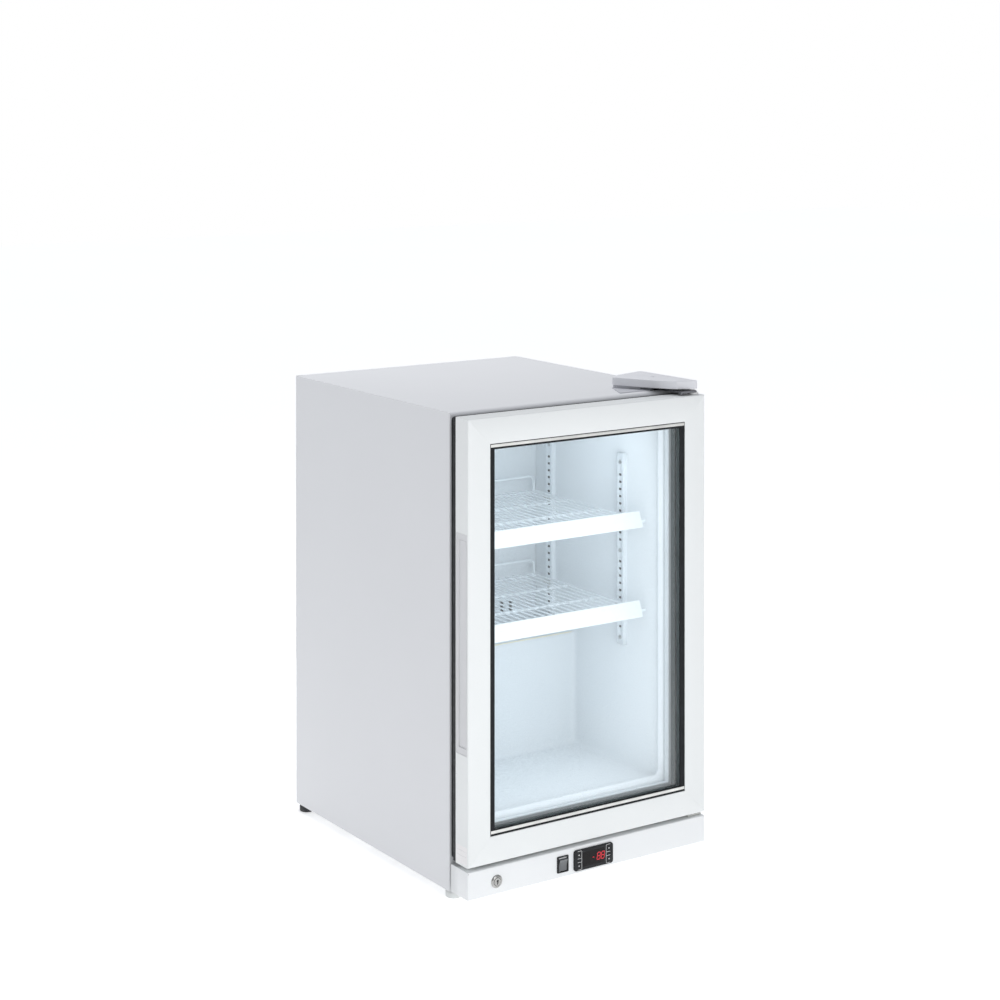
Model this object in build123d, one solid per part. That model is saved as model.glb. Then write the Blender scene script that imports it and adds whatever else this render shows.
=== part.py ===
from build123d import *

import os
from math import cos, radians, sin

# Undercounter display refrigerator with one hinged glass door, as an assembly of separate pieces.
# Millimetres, +X to the right as one faces the door, +Y towards the back, +Z up.
# Pieces are drawn in the cabinet's own frame, where y = 0 is the cabinet's front plane and z = 0 is the
# lower edge of its side panels. At the end they are moved so that the origin lies on the floor, under the
# middle of the whole object's outer box.

# ---- driving dimensions: cabinet --------------------------------------------------------------------
cabinet_width = 450.0
cabinet_depth = 480.0
cabinet_height = 717.0  # side panel, lower edge to top
foot_height = 12.0  # floor to the side panels' lower edge
sheet = 1.0  # painted steel of the outer panels
edge_bend = 9.0  # outer radius of the top panel's rolled front edge
top_fold = 22.0  # height of the top panel's front fold
side_fold = 18.0  # width of a side panel's folded front edge
rear_fold = 14.0  # width of the fold that the rear grille is screwed to
side_wall = 45.0  # outside face to the liner's face
top_wall = 40.0
back_wall = 40.0
floor_height = 93.0  # lower edge of the side panels to the liner's floor
foam_bottom = 49.0  # lower edge of the side panels to the foam under the floor
liner_sheet = 1.5
throat_depth = 16.0  # the moulded frame round the cabinet's mouth
throat_lip = 3.0  # how far it narrows the mouth at the sides and the top
throat_sill = 8.0  # how far it stands above the floor
throat_round = 2.4

# ---- driving dimensions: machine space and cold parts --------------------------------------------------
machine_depth = 200.0
machine_height = 241.0
machine_wall = 41.0  # foam and liner over and in front of the machine space
pan_sheet = 1.5
pan_front_flange = 46.0
compressor_radius = 60.0
compressor_height = 140.0
grommet_height = 12.0
grommet_radius = 11.0
condenser_width = 170.0
condenser_height = 170.0
condenser_depth = 40.0
condenser_fins = 34
condenser_fan_radius = 72.0
evaporator_width = 280.0
evaporator_height = 130.0
evaporator_depth = 56.0
evaporator_fins = 44
evaporator_fan_radius = 48.0
cover_gap = 87.0  # liner's back to the front face of the evaporator cover
cover_height = 363.0
cover_margin = 5.0  # cover's side to the liner's side
fin_sheet = 1.0
shaft_radius = 3.0
pipe_radius = 3.2
drier_radius = 9.0
drier_length = 110.0
drain_radius = 7.0
screw_radius = 3.6
screw_head = 1.8
rear_screw_head = 1.2

# ---- driving dimensions: door -----------------------------------------------------------------------
door_thickness = 34.2
door_gap = 17.4  # back of the door's frame to the cabinet's front plane
door_drop = 3.6  # cabinet's top to the door's top
door_clearance = 6.0  # kick panel's top to the door's lower edge
frame_width = 40.0
frame_wall = 1.6
frame_edge = 1.2  # rounding of the frame's outer edges
front_lip = 3.2
glass = 4.0
glass_gap = 12.0
glass_bite = 6.0  # how deep the glass sits in the frame
glazing_band = 9.0  # black border that shows round the glass
glazing_sheet = 2.6
strip_height = 4.5
strip_offset = 1.0  # upper bar and side bars to the strips
strip_foot = 3.4  # lower bar to the lower strip
strip_sheet = 0.5
spacer_height = 7.5
spacer_inset = 1.5  # pane's edge to the spacer
rear_seal = 2.5  # rear glazing seal on the frame's back lip
trim_depth = 9.4  # black moulding on the back of the frame
trim_width = 46.0
bead_width = 12.0  # white bead inside the black moulding
gasket_width = 26.0
gasket_inset = 13.0  # door's outer edge to the gasket
skirt_inset = 1.5  # door's outer edge to the gasket's outer skirt
skirt_gap = 2.2  # skirt to the cabinet's front
key_leg = 34.0  # leg length of the frame's corner pieces
handle_height = 329.0
handle_bottom = 164.0  # door's lower edge to the handle plate
handle_width = 30.5
handle_border = 6.5
handle_end_border = 11.0
handle_depth = 15.0
handle_slope = 8.0  # how far the recess narrows on its front side
handle_end_slope = 20.0

# ---- driving dimensions: hinges ---------------------------------------------------------------------
pin_inset = 11.0  # hinge axis to the cabinet's right side
pin_setback = 15.6  # hinge axis to the door's front face
pin_radius = 4.0
pin_depth = 15.0
bush_radius = 7.0
bush_flange = 8.5
bush_proud = 3.2
bracket_sheet = 3.0
bracket_leg = 2.6  # sheet of the lower bracket
hinge_cover_height = 13.0
hinge_cover_wall = 2.0
plinth_height = 5.4
stop_pin_radius = 3.5
stop_pin_offset = 24.0

# ---- driving dimensions: kick panel and its controls ------------------------------------------------
kick_bottom = 1.6
kick_height = 41.4
kick_sheet = 1.2
kick_depth = 46.6
lock_inset = 51.0  # lock's axis to the cabinet's left side
lock_height = 20.8
lock_head_radius = 9.8
lock_barrel_radius = 9.5
lock_plug_radius = 6.0
lock_head = 2.5
lock_length = 20.0
cam_length = 26.0
cam_width = 14.0
cam_sheet = 2.0
control_height = 22.0  # axis of the switch and the controller
switch_x = -53.4
switch_width = 21.0
switch_height = 25.0
switch_flange = 2.0
switch_lip_x = 1.2  # how far the switch's bezel laps over its cut-out
switch_lip_z = 1.7
switch_depth = 20.0
rocker_width = 14.4
rocker_half = 9.0
rocker_tilt = 10.0
controller_x = 4.0
controller_width = 74.0
controller_height = 32.0
controller_corner = 4.0
controller_lip = 1.7  # how far the controller's bezel laps over its cut-out
controller_proud = 3.0
controller_depth = 46.0
window_width = 42.0
window_height = 22.0
window_shift = -1.0
button_width = 9.0
button_height = 10.0
button_x = 28.5
button_z = 8.5
button_travel = 0.5
button_proud = 0.3

# ---- driving dimensions: shelves ----------------------------------------------------------------------
shelf_heights = {"lower": 359.0, "upper": 503.0}  # frame wire's axis above the panels' lower edge
shelf_front = 37.3
shelf_back = 336.0
shelf_gap = 11.5  # liner's side to the axis of the shelf's side wire
frame_wire = 2.5
deck_wire = 1.4
deck_pitch = 14.0
deck_sink = 0.5  # weld: how far a deck wire sinks into the wires that it crosses
deck_overhang = 1.2
backstop_height = 27.0
shelf_corner = 8.0
shelf_horn = 6.5  # the front wire's ends stand out this far beyond the side wires
strip_width_gap = 16.0  # liner's side to the end of the ticket strip
strip_low = 8.5
strip_high = 16.5
strip_wall = 1.8
strip_lean = 10.0  # how far the plate's top edge stands behind its foot
pilaster_bottom = 289.0
pilaster_height = 314.0
pilaster_width = 18.0
pilaster_depth = 6.0
pilaster_sheet = 1.2
pilaster_front = 95.0  # front edges of the front and rear pilasters
pilaster_rear = 297.0
slot_pitch = 11.85
slot_width = 6.0
slot_height = 3.2
slot_first = 29.3  # pilaster's lower end to its first slot
slot_count = 22
slots_left_out = (10, 11)  # where the middle screw goes
pilaster_screws = (12.0, 154.0, 299.0)
clip_width = 10.0
clip_height = 5.0

# ---- driving dimensions: feet and fits --------------------------------------------------------------
foot_radius = 13.0
foot_stem_radius = 4.0
foot_stem = 24.0
foot_travel = 8.0
foot_side_inset = 13.5
foot_front_inset = 8.0
foot_rear_inset = 16.0
nut_radius = 6.5
nut_height = 8.0
running_fit = 0.05  # radial gap between a pin and its hole
free_gap = 0.4  # between pieces that move past each other
seat_gap = 0.3

# ---- derived places ---------------------------------------------------------------------------------
half_width = cabinet_width / 2
inner_half = half_width - side_wall
ceiling = cabinet_height - top_wall
liner_back = cabinet_depth - back_wall
machine_front = cabinet_depth - machine_depth
hump_front = machine_front - machine_wall
hump_top = machine_height + machine_wall
cover_front = liner_back - cover_gap
cover_half = inner_half - cover_margin

door_back = -door_gap
door_front = door_back - door_thickness
kick_top = kick_bottom + kick_height
door_bottom = kick_top + door_clearance
door_top = cabinet_height - door_drop
opening_half = half_width - frame_width
opening_bottom = door_bottom + frame_width
opening_top = door_top - frame_width
sight_half = opening_half - glazing_band
sight_bottom = opening_bottom + glazing_band
sight_top = opening_top - glazing_band
pane_front = door_front + front_lip
spacer_front = pane_front + glass
spacer_back = spacer_front + glass_gap
pane_back = spacer_back + glass
pin_x = half_width - pin_inset
pin_y = door_front + pin_setback
handle_z = door_bottom + handle_bottom
handle_front = door_front + (door_thickness - handle_width) / 2 + 0.8
lock_x = -half_width + lock_inset

rocker_tip = 5.2  # rocker's pivot to its raised end, measured along y before it is tilted
rocker_pivot_y = door_front + 1.8
rocker_reach = rocker_tip * cos(radians(rocker_tilt)) + rocker_half * sin(radians(rocker_tilt))
foremost = rocker_pivot_y - rocker_reach
hindmost = cabinet_depth + rear_screw_head
origin_shift = Location((0, -(foremost + hindmost) / 2, foot_height))


# ---- shape helpers ----------------------------------------------------------------------------------
def block(x_low, x_high, y_low, y_high, z_low, z_high):
    """A box between two opposite corners."""
    centre = ((x_low + x_high) / 2, (y_low + y_high) / 2, (z_low + z_high) / 2)
    return Pos(*centre) * Box(x_high - x_low, y_high - y_low, z_high - z_low)


def upright(radius, x, y, z_low, z_high):
    """A rod along Z."""
    return Pos(x, y, (z_low + z_high) / 2) * Cylinder(radius, z_high - z_low)


def rod_y(radius, x, z, y_low, y_high):
    """A rod along Y."""
    return Pos(x, (y_low + y_high) / 2, z) * Rot(90, 0, 0) * Cylinder(radius, y_high - y_low)


def rod_x(radius, y, z, x_low, x_high):
    """A rod along X."""
    return Pos((x_low + x_high) / 2, y, z) * Rot(0, 90, 0) * Cylinder(radius, x_high - x_low)


def joined(shapes):
    """The shapes welded into one solid where they touch or overlap."""
    first, *rest = shapes
    return first.fuse(*rest)


def group(shapes):
    """Separate solids that share one node."""
    return Compound([solid for shape in shapes for solid in shape.solids()])


def ring(half_outer, z_low, z_high, band, y_low, y_high):
    """An upright rectangular frame: the same band all round its opening."""
    outer = block(-half_outer, half_outer, y_low, y_high, z_low, z_high)
    half_inner = half_outer - band
    return outer - block(-half_inner, half_inner, y_low, y_high, z_low + band, z_high - band)


def side_prism(points, x_low, x_high):
    """A (y, z) outline carried from x_low to x_high."""
    face = make_face(Polyline(*points, close=True))
    return Pos(x_low, 0, 0) * extrude(Plane.YZ * face, x_high - x_low)


def plan_prism(points, z_low, z_high, corner=0.0):
    """An (x, y) outline carried from z_low to z_high, with its corners rounded."""
    face = make_face(Polyline(*points, close=True))
    if corner:
        face = fillet(face.vertices(), corner)
    return Pos(0, 0, z_low) * extrude(face, z_high - z_low)


def bent_sheet(points, thickness, bend, x_low, x_high):
    """A sheet folded along a (y, z) line and carried from x_low to x_high. bend is the middle radius."""
    line = FilletPolyline(*points, radius=bend)
    return Pos(x_low, 0, 0) * extrude(Plane.YZ * trace(line, thickness), x_high - x_low)


def pipe(points, radius, bend):
    """A round tube's solid along straight runs joined by equal bends."""
    line = FilletPolyline(*points, radius=bend)
    return sweep(Plane(origin=line @ 0, z_dir=line % 0) * Circle(radius), path=line)


# ---- cabinet ----------------------------------------------------------------------------------------
def side_panel(side):
    """Sheet side with a fold behind the door and a fold at the back for the grille. side is -1 or 1."""
    outer, inner = side * half_width, side * (half_width - sheet)
    fold, back = side * (half_width - side_fold), side * (half_width - rear_fold)
    plate = block(*sorted((outer, inner)), 0, cabinet_depth, 0, cabinet_height)
    front = block(*sorted((outer, fold)), 0, sheet, 0, cabinet_height - top_fold)
    rear = block(*sorted((outer, back)), cabinet_depth - 2 * sheet, cabinet_depth - sheet,
                 pan_sheet, machine_height - sheet)
    return joined([plate, front, rear])


def top_panel():
    """Top sheet, rolled over at the front into a short fold."""
    mid = sheet / 2
    points = [(cabinet_depth, cabinet_height - mid), (mid, cabinet_height - mid),
              (mid, cabinet_height - top_fold)]
    reach = half_width - sheet
    return bent_sheet(points, sheet, edge_bend - mid, -reach, reach)


def back_panel():
    reach = half_width - sheet
    return block(-reach, reach, cabinet_depth - sheet, cabinet_depth, machine_height, cabinet_height - sheet)


def liner_outline(offset):
    """(y, z) outline of the cold space, with its step over the machine space, grown by offset."""
    front, step = 2 * sheet, hump_front + offset
    low, back = floor_height - offset, liner_back + offset
    return [(front, low), (step, low), (step, hump_top - offset), (back, hump_top - offset),
            (back, ceiling + offset), (front, ceiling + offset)]


def drain_hole(radius):
    return upright(radius, drain_x, drain_y, machine_height - 2 * sheet, hump_top + sheet)


def inner_liner():
    shell = side_prism(liner_outline(liner_sheet), -inner_half - liner_sheet, inner_half + liner_sheet)
    shell -= side_prism(liner_outline(0), -inner_half, inner_half)
    return shell - drain_hole(drain_radius)


def insulation_foam():
    """Foam between the outer panels and the liner, open at the front and over the machine space."""
    reach = half_width - sheet
    foam = block(-reach, reach, 2 * sheet, cabinet_depth - sheet, foam_bottom, cabinet_height - sheet)
    foam = fillet(foam.edges().filter_by(Axis.X).group_by(Axis.Z)[-1].sort_by(Axis.Y)[0], edge_bend - sheet)
    foam -= side_prism(liner_outline(liner_sheet), -inner_half - liner_sheet, inner_half + liner_sheet)
    foam -= block(-reach, reach, machine_front, cabinet_depth, 0, machine_height)
    return foam - machine_bulkhead() - drain_hole(drain_radius)


def machine_bulkhead():
    """Sheet under the foam, up the front of the machine space and over it."""
    mid, reach = sheet / 2, half_width - sheet
    points = [(2 * sheet + pan_sheet, foam_bottom - mid), (machine_front + mid, foam_bottom - mid),
              (machine_front + mid, machine_height - mid), (cabinet_depth - sheet, machine_height - mid)]
    hole = upright(drain_radius, drain_x, drain_y, machine_height - 2 * sheet, machine_height)
    return bent_sheet(points, sheet, 2 * sheet, -reach, reach) - hole


def throat_frame():
    """Moulded frame round the mouth: a flange that the door's gasket meets, and a rounded lip inside."""
    flange_half = half_width - side_fold - seat_gap
    flange_low, flange_high = foam_bottom + 2 * sheet, cabinet_height - top_fold - seat_gap
    mouth_half = inner_half - throat_lip
    mouth_low, mouth_high = floor_height + throat_sill, ceiling - throat_lip
    body = block(-flange_half, flange_half, 0, 2 * sheet, flange_low, flange_high)
    body += block(-inner_half, inner_half, 2 * sheet, throat_depth, floor_height, ceiling)
    body -= block(-mouth_half, mouth_half, 0, throat_depth, mouth_low, mouth_high)
    mouth_edges = [edge for edge in body.edges() if abs(edge.center().X) < inner_half - 1]
    mouth_edges = [edge for edge in mouth_edges if mouth_low - 1 < edge.center().Z < mouth_high + 1]
    rims = [edge for edge in mouth_edges if not 0.1 < edge.center().Y < throat_depth - 0.1]
    return fillet(rims, throat_round)


def base_pan():
    """Sheet floor of the machine: folds at its front and back, a weld nut over each foot's hole, and two
    welded angles that carry the kick panel."""
    reach, back = half_width - sheet, cabinet_depth - sheet
    fold = half_width - rear_fold - seat_gap
    pan = joined([
        block(-reach, reach, sheet, back, 0, pan_sheet),
        block(-reach, reach, sheet, sheet + pan_sheet, 0, pan_front_flange),
        block(-fold, fold, back - pan_sheet, back, 0, 8 * pan_sheet),
    ])
    for x, y in foot_places.values():
        pan += Pos(x, y, pan_sheet) * extrude(RegularPolygon(nut_radius, 6), nut_height)
    for side in (-1, 1):
        x, low = side * half_width * 0.6, kick_bottom + kick_sheet
        pan += block(x - 15, x + 15, door_front + kick_sheet + 4, sheet, low, low + 2)
        pan += block(x - 15, x + 15, sheet - 2, sheet, low, low + 24)
    for x, y in foot_places.values():
        pan -= upright(foot_stem_radius + running_fit, x, y, 0, pan_sheet + nut_height)
    return pan


def evaporator_cover():
    """Shallow sheet box over the evaporator: a ring of slots before the fan and a row of slots below."""
    top = hump_top + cover_height
    cover = block(-cover_half, cover_half, cover_front, liner_back, hump_top, top)
    inner = cover_half - pan_sheet
    cover -= block(-inner, inner, cover_front + pan_sheet, liner_back, hump_top, top - pan_sheet)
    for turn in range(24):
        slot = Pos(evaporator_fan_radius * 0.66, 0, 0) * Box(evaporator_fan_radius * 0.5, 4 * pan_sheet, 4.0)
        cover -= Pos(0, cover_front, fan_z) * Rot(0, 15 * turn, 0) * slot
    for step in range(-7, 8):
        cover -= block(step * 18 - 3, step * 18 + 3, cover_front, cover_front + pan_sheet,
                       hump_top + 12, hump_top + 36)
    return cover


def finned_coil(width, depth, height, fins, place, rows):
    """Heat exchanger: sheet fins on a serpentine's straight tubes. place is its low corner."""
    x, y, z = place
    pieces = []
    step = (width - fin_sheet) / (fins - 1)
    for i in range(fins):
        pieces.append(block(x + i * step, x + i * step + fin_sheet, y, y + depth, z, z + height))
    for row in range(rows):
        level = z + height * (row + 0.5) / rows
        for share in (0.3, 0.7):
            pieces.append(rod_x(pipe_radius + 0.8, y + depth * share, level, x - 4, x + width + 4))
    return joined(pieces)


def evaporator_coil():
    place = (-evaporator_width / 2, liner_back - evaporator_depth, hump_top + 44)
    return finned_coil(evaporator_width, evaporator_depth, evaporator_height, evaporator_fins, place, 4)


def fan_motor(x, z, y_back, radius, length, shaft_end):
    """Motor can with a shaft along Y. y_back is the face that it is fixed by."""
    front = y_back - length
    can = rod_y(radius, x, z, front, y_back)
    return can + rod_y(shaft_radius, x, z, min(front, shaft_end), max(front, shaft_end))


def fan_blade(x, z, y_mid, radius, hub, blades):
    """Hub with pitched blades, bored to run on a shaft along Y."""
    depth = hub * 0.9
    wheel = [rod_y(hub, x, z, y_mid - depth / 2, y_mid + depth / 2)]
    blade = Pos((hub + radius) / 2 - 1, 0, 0) * Rot(28, 0, 0) * Box(radius - hub + 2, 1.6, radius * 0.52)
    for i in range(blades):
        wheel.append(Pos(x, y_mid, z) * Rot(0, 360 * i / blades, 0) * blade)
    limit = rod_y(radius, x, z, y_mid - radius, y_mid + radius)
    bore = rod_y(shaft_radius + running_fit, x, z, y_mid - depth, y_mid + depth)
    return (joined(wheel) & limit) - bore


def interior_lamp():
    """Strip lamp under the ceiling, behind the mouth's upper edge: a housing and its rounded lens."""
    half = inner_half * 0.8
    housing = block(-half, half, lamp_front, lamp_front + 20, ceiling - 6, ceiling)
    lens = block(2 - half, half - 2, lamp_front + 2, lamp_front + 18, ceiling - 10, ceiling - 6)
    return group([housing, fillet(lens.edges().filter_by(Axis.X).group_by(Axis.Z)[0], 3)])


def temperature_probe():
    """Sensor bulb in a spring clip on the back of the evaporator cover."""
    x, y = cover_half - 40, cover_front + pan_sheet
    bulb = upright(3, x, y + 5, hump_top + 200, hump_top + 236)
    clip = block(x - 5, x + 5, y, y + 3, hump_top + 210, hump_top + 226)
    return bulb + clip


def pilaster(front):
    """Slotted shelf rail: a web that stands off the wall on two folds."""
    wall, face = inner_half, inner_half - pilaster_depth
    top = pilaster_bottom + pilaster_height
    rail = block(face, wall, front, front + pilaster_width, pilaster_bottom, top)
    behind, rear = face + pilaster_sheet, front + pilaster_width - pilaster_sheet
    rail -= block(behind, wall, front + pilaster_sheet, rear, pilaster_bottom, top)
    middle = front + pilaster_width / 2
    for i in range(slot_count):
        if i not in slots_left_out:
            z = pilaster_bottom + slot_first + i * slot_pitch
            rail -= block(face, face + pilaster_sheet, middle - slot_width / 2, middle + slot_width / 2,
                          z - slot_height / 2, z + slot_height / 2)
    return rail


def on_both_walls(shapes):
    """Each right-hand shape with its left-hand twin, as separate solids."""
    return group([twin for shape in shapes for twin in (shape, mirror(shape, Plane.YZ))])


def rail_screws():
    """Heads of the screws that hold the four pilasters to the liner."""
    face, shapes = inner_half - pilaster_depth, []
    for front in (pilaster_front, pilaster_rear):
        for height in pilaster_screws:
            y, z = front + pilaster_width / 2, pilaster_bottom + height
            shapes.append(rod_x(screw_radius, y, z, face - screw_head, face))
    return on_both_walls(shapes)


def shelf_clips():
    """Clips that hook into the pilasters and carry the shelves' side wires."""
    face, shapes = inner_half - pilaster_depth, []
    reach = shelf_gap + frame_wire - pilaster_depth
    for height in shelf_heights.values():
        seat = height - frame_wire - seat_gap
        for front in (pilaster_front, pilaster_rear):
            low = front + (pilaster_width - clip_width) / 2
            clip = block(face - reach, face, low, low + clip_width, seat - clip_height, seat)
            clip += block(face - 1.5, face, low, low + clip_width, seat - 3 * clip_height, seat)
            shapes.append(clip)
    return on_both_walls(shapes)


# ---- machine space ----------------------------------------------------------------------------------
def compressor():
    """Welded steel shell on a foot plate."""
    x, y = compressor_place
    plate_low = pan_sheet + grommet_height
    plate = block(x - 80, x + 80, y - 52, y + 52, plate_low, plate_low + 3)
    for dx, dy in grommet_offsets:
        plate -= upright(5, x + dx, y + dy, plate_low, plate_low + 3)
    can = upright(compressor_radius, x, y, plate_low + 3, plate_low + 3 + compressor_height)
    can = fillet(can.edges().group_by(Axis.Z)[-1], compressor_radius * 0.55)
    seam = upright(compressor_radius + 2.5, x, y, plate_low + 68, plate_low + 73)
    return joined([plate, can, seam])


def compressor_grommets():
    """Rubber mounts under the compressor's foot plate, each with its sleeve through the plate."""
    x, y = compressor_place
    shapes = []
    for dx, dy in grommet_offsets:
        body = upright(grommet_radius, x + dx, y + dy, pan_sheet, pan_sheet + grommet_height)
        shapes.append(body + upright(5, x + dx, y + dy, pan_sheet, pan_sheet + grommet_height + 6))
    return group(shapes)


def condenser_coil():
    """Finned coil with a sheet shroud on its back, which has a round opening for the fan."""
    place = (condenser_x - condenser_width / 2, machine_front + 8, pan_sheet)
    coil = finned_coil(condenser_width, condenser_depth, condenser_height, condenser_fins, place, 6)
    y = machine_front + 8 + condenser_depth
    low, high = condenser_x - condenser_width / 2, condenser_x + condenser_width / 2
    plate = block(low, high, y, y + pan_sheet, pan_sheet, pan_sheet + condenser_height)
    plate += block(low, high, y, y + 30, pan_sheet, 2 * pan_sheet)
    plate -= rod_y(condenser_fan_radius + 4, condenser_x, condenser_fan_z, y, y + pan_sheet)
    return joined([coil, plate])


def condenser_motor():
    """The condenser fan's motor on its post, which stands on the base pan."""
    low, high = condenser_motor_back, condenser_motor_back + 3
    post = block(condenser_x - 14, condenser_x + 14, low, high, pan_sheet, condenser_fan_z + 20)
    foot = block(condenser_x - 24, condenser_x + 24, low, low + 24, pan_sheet, pan_sheet + 3)
    return joined([fan_motor(condenser_x, condenser_fan_z, low, 25, 42, condenser_fan_y - 10), post, foot])


def condensate_tray():
    """Open pan on top of the compressor, where the drain water dries off."""
    x, y = compressor_place
    tray = block(x - 50, x + 50, y - 36, y + 46, tray_low, tray_low + 18)
    return tray - block(x - 48, x + 48, y - 34, y + 44, tray_low + 2, tray_low + 18)


def drain_tube():
    """Tube from the evaporator's floor down to the condensate tray."""
    tube = upright(drain_radius, drain_x, drain_y, tray_low + 8, hump_top)
    tube -= upright(drain_radius - 1.2, drain_x, drain_y, tray_low + 8, hump_top)
    return tube


def filter_drier():
    """Upright drier in the liquid line, held to the front of the machine space by a clamp."""
    x, y = drier_place
    low = pan_sheet + 30
    body = upright(drier_radius, x, y, low, low + drier_length)
    body = fillet(body.edges(), drier_radius * 0.5)
    neck = upright(pipe_radius, x, y, low - 12, low + drier_length + 12)
    near = y - drier_radius
    clamp = block(x - 12, x + 12, near - 3, near + 2, low + 40, low + 60)
    foot = block(x - 12, x + 12, machine_front + sheet, near - 1, low + 46, low + 54)
    return joined([body, neck, clamp, foot])


def refrigerant_pipes():
    """Discharge and liquid lines between the compressor, the condenser and the drier."""
    x, y = compressor_place
    shell, drier_x, drier_y = compressor_radius, drier_place[0], drier_place[1]
    coil_y = machine_front + 8 + condenser_depth * 0.3
    coil_left = condenser_x - condenser_width / 2 - 4
    coil_low = pan_sheet + condenser_height * 0.5 / 6
    coil_high = pan_sheet + condenser_height * 5.5 / 6
    clear = x + shell + 14
    discharge = pipe([(x + shell, y - 20, 90), (clear, y - 20, 90), (clear, y - 20, coil_high),
                      (clear, coil_y, coil_high), (coil_left, coil_y, coil_high)], pipe_radius, 6)
    liquid = pipe([(coil_left, coil_y, coil_low), (coil_left - 14, coil_y, coil_low),
                   (coil_left - 14, drier_y, coil_low - 6), (drier_x, drier_y, coil_low - 6),
                   (drier_x, drier_y, pan_sheet + 18)], pipe_radius, 4)
    return group([discharge, liquid])


def rear_grille():
    """Louvred sheet over the machine space, with a cut-out for the power inlet."""
    low, high = 9 * pan_sheet, machine_height - sheet
    half = half_width - sheet - free_gap
    plate = block(-half, half, cabinet_depth - sheet, cabinet_depth, low, high)
    columns, rows = 4, 13
    span = (2 * half - 110) / columns
    for c in range(columns):
        x = -half + 85 + c * span
        for r in range(rows):
            z = low + 26 + r * (high - low - 46) / (rows - 1)
            plate -= block(x, x + span - 14, cabinet_depth - sheet, cabinet_depth, z - 3, z + 3)
    x, z = inlet_place
    return plate - block(x - 14, x + 14, cabinet_depth - sheet, cabinet_depth, z - 10, z + 10)


def power_inlet():
    """Recessed three-pole appliance inlet behind the grille."""
    x, z = inlet_place
    back = cabinet_depth - sheet
    body = block(x - 22, x + 22, back - 3, back, z - 13, z + 13)
    body += block(x - 13.5, x + 13.5, back - 26, back, z - 9.5, z + 9.5)
    body -= block(x - 11.5, x + 11.5, back - 17, back, z - 7.5, z + 7.5)
    for dx, dz in ((-7, -2), (0, 2.5), (7, -2)):
        body += block(x + dx - 1, x + dx + 1, back - 17, back - 4, z + dz - 2, z + dz + 2)
    return body


def rear_screws():
    """Heads of the screws that hold the grille to the side panels' rear folds."""
    x = half_width - sheet - rear_fold / 2
    heights = (9 * pan_sheet + 14, machine_height / 2, machine_height - 16)
    return on_both_walls([rod_y(screw_radius, x, z, cabinet_depth, cabinet_depth + rear_screw_head)
                          for z in heights])


# ---- feet -------------------------------------------------------------------------------------------
def levelling_foot(x, y):
    """Screw-in foot: a round pad that stands on the floor, with a stem up through the base pan."""
    pad = upright(foot_radius, x, y, -foot_height, -free_gap)
    pad = chamfer(pad.edges().group_by(Axis.Z)[-1], 2.5)
    return pad + upright(foot_stem_radius, x, y, -foot_height, foot_stem)


# ---- kick panel and its controls ----------------------------------------------------------------------
def kick_panel():
    """Folded sheet box under the door, open at the back, with cut-outs for the controls."""
    back = door_front + kick_depth
    panel = block(-half_width, half_width, door_front, back, kick_bottom, kick_top)
    panel = fillet(panel.edges().filter_by(Axis.X).group_by(Axis.Y)[0], kick_sheet)
    inner, skin = half_width - kick_sheet, (door_front, door_front + kick_sheet)
    panel -= block(-inner, inner, skin[1], back, kick_bottom + kick_sheet, kick_top - kick_sheet)
    panel -= rod_y(lock_barrel_radius, lock_x, lock_height, *skin)
    wide, high = switch_width / 2 - switch_lip_x, switch_height / 2 - switch_lip_z
    panel -= block(switch_x - wide, switch_x + wide, *skin, control_height - high, control_height + high)
    wide, high = controller_width / 2 - controller_lip, controller_height / 2 - controller_lip
    level = (control_height - high, control_height + high)
    panel -= block(controller_x - wide, controller_x + wide, *skin, *level)
    cam_back = cam_front + cam_sheet
    return panel - block(lock_x - cam_width / 2 - 2, lock_x + cam_length - 4, cam_front - 1.5, cam_back + 1.5,
                         kick_top - kick_sheet, kick_top)


def lock_barrel():
    """Lock body with a round head before the kick panel and a nut behind it."""
    body = rod_y(lock_head_radius, lock_x, lock_height, door_front - lock_head, door_front)
    body = fillet(body.edges().group_by(Axis.Y)[0], 1.0)
    body += rod_y(lock_barrel_radius, lock_x, lock_height, door_front, door_front + lock_length)
    nut = Plane.XZ * Pos(lock_x, lock_height) * RegularPolygon(lock_barrel_radius + 4.5, 6)
    body += Pos(0, door_front + kick_sheet, 0) * extrude(nut, -4.0)
    return body - rod_y(lock_plug_radius + running_fit, lock_x, lock_height,
                        door_front - lock_head, door_front + lock_length)


def lock_plug():
    """Key cylinder that turns in the barrel, with a key slot and a square tail for the cam."""
    front = door_front - lock_head - 0.4
    plug = rod_y(lock_plug_radius, lock_x, lock_height, front, cam_front)
    plug += rod_y(lock_plug_radius * 0.6, lock_x, lock_height, cam_front, cam_front + cam_sheet + 2)
    return plug - block(lock_x - 1, lock_x + 1, front, front + 12, lock_height - 4, lock_height + 3)


def lock_cam():
    """Flat cam on the plug's tail. It points to the right when the lock is open."""
    arm = cam_length - cam_width / 2
    low, high = cam_front, cam_front + cam_sheet
    cam = block(lock_x, lock_x + arm, low, high, lock_height - cam_width / 2, lock_height + cam_width / 2)
    cam += rod_y(cam_width / 2, lock_x, lock_height, low, high)
    cam += rod_y(cam_width / 2, lock_x + arm, lock_height, low, high)
    return cam - rod_y(lock_plug_radius * 0.6, lock_x, lock_height, low, high)


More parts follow.
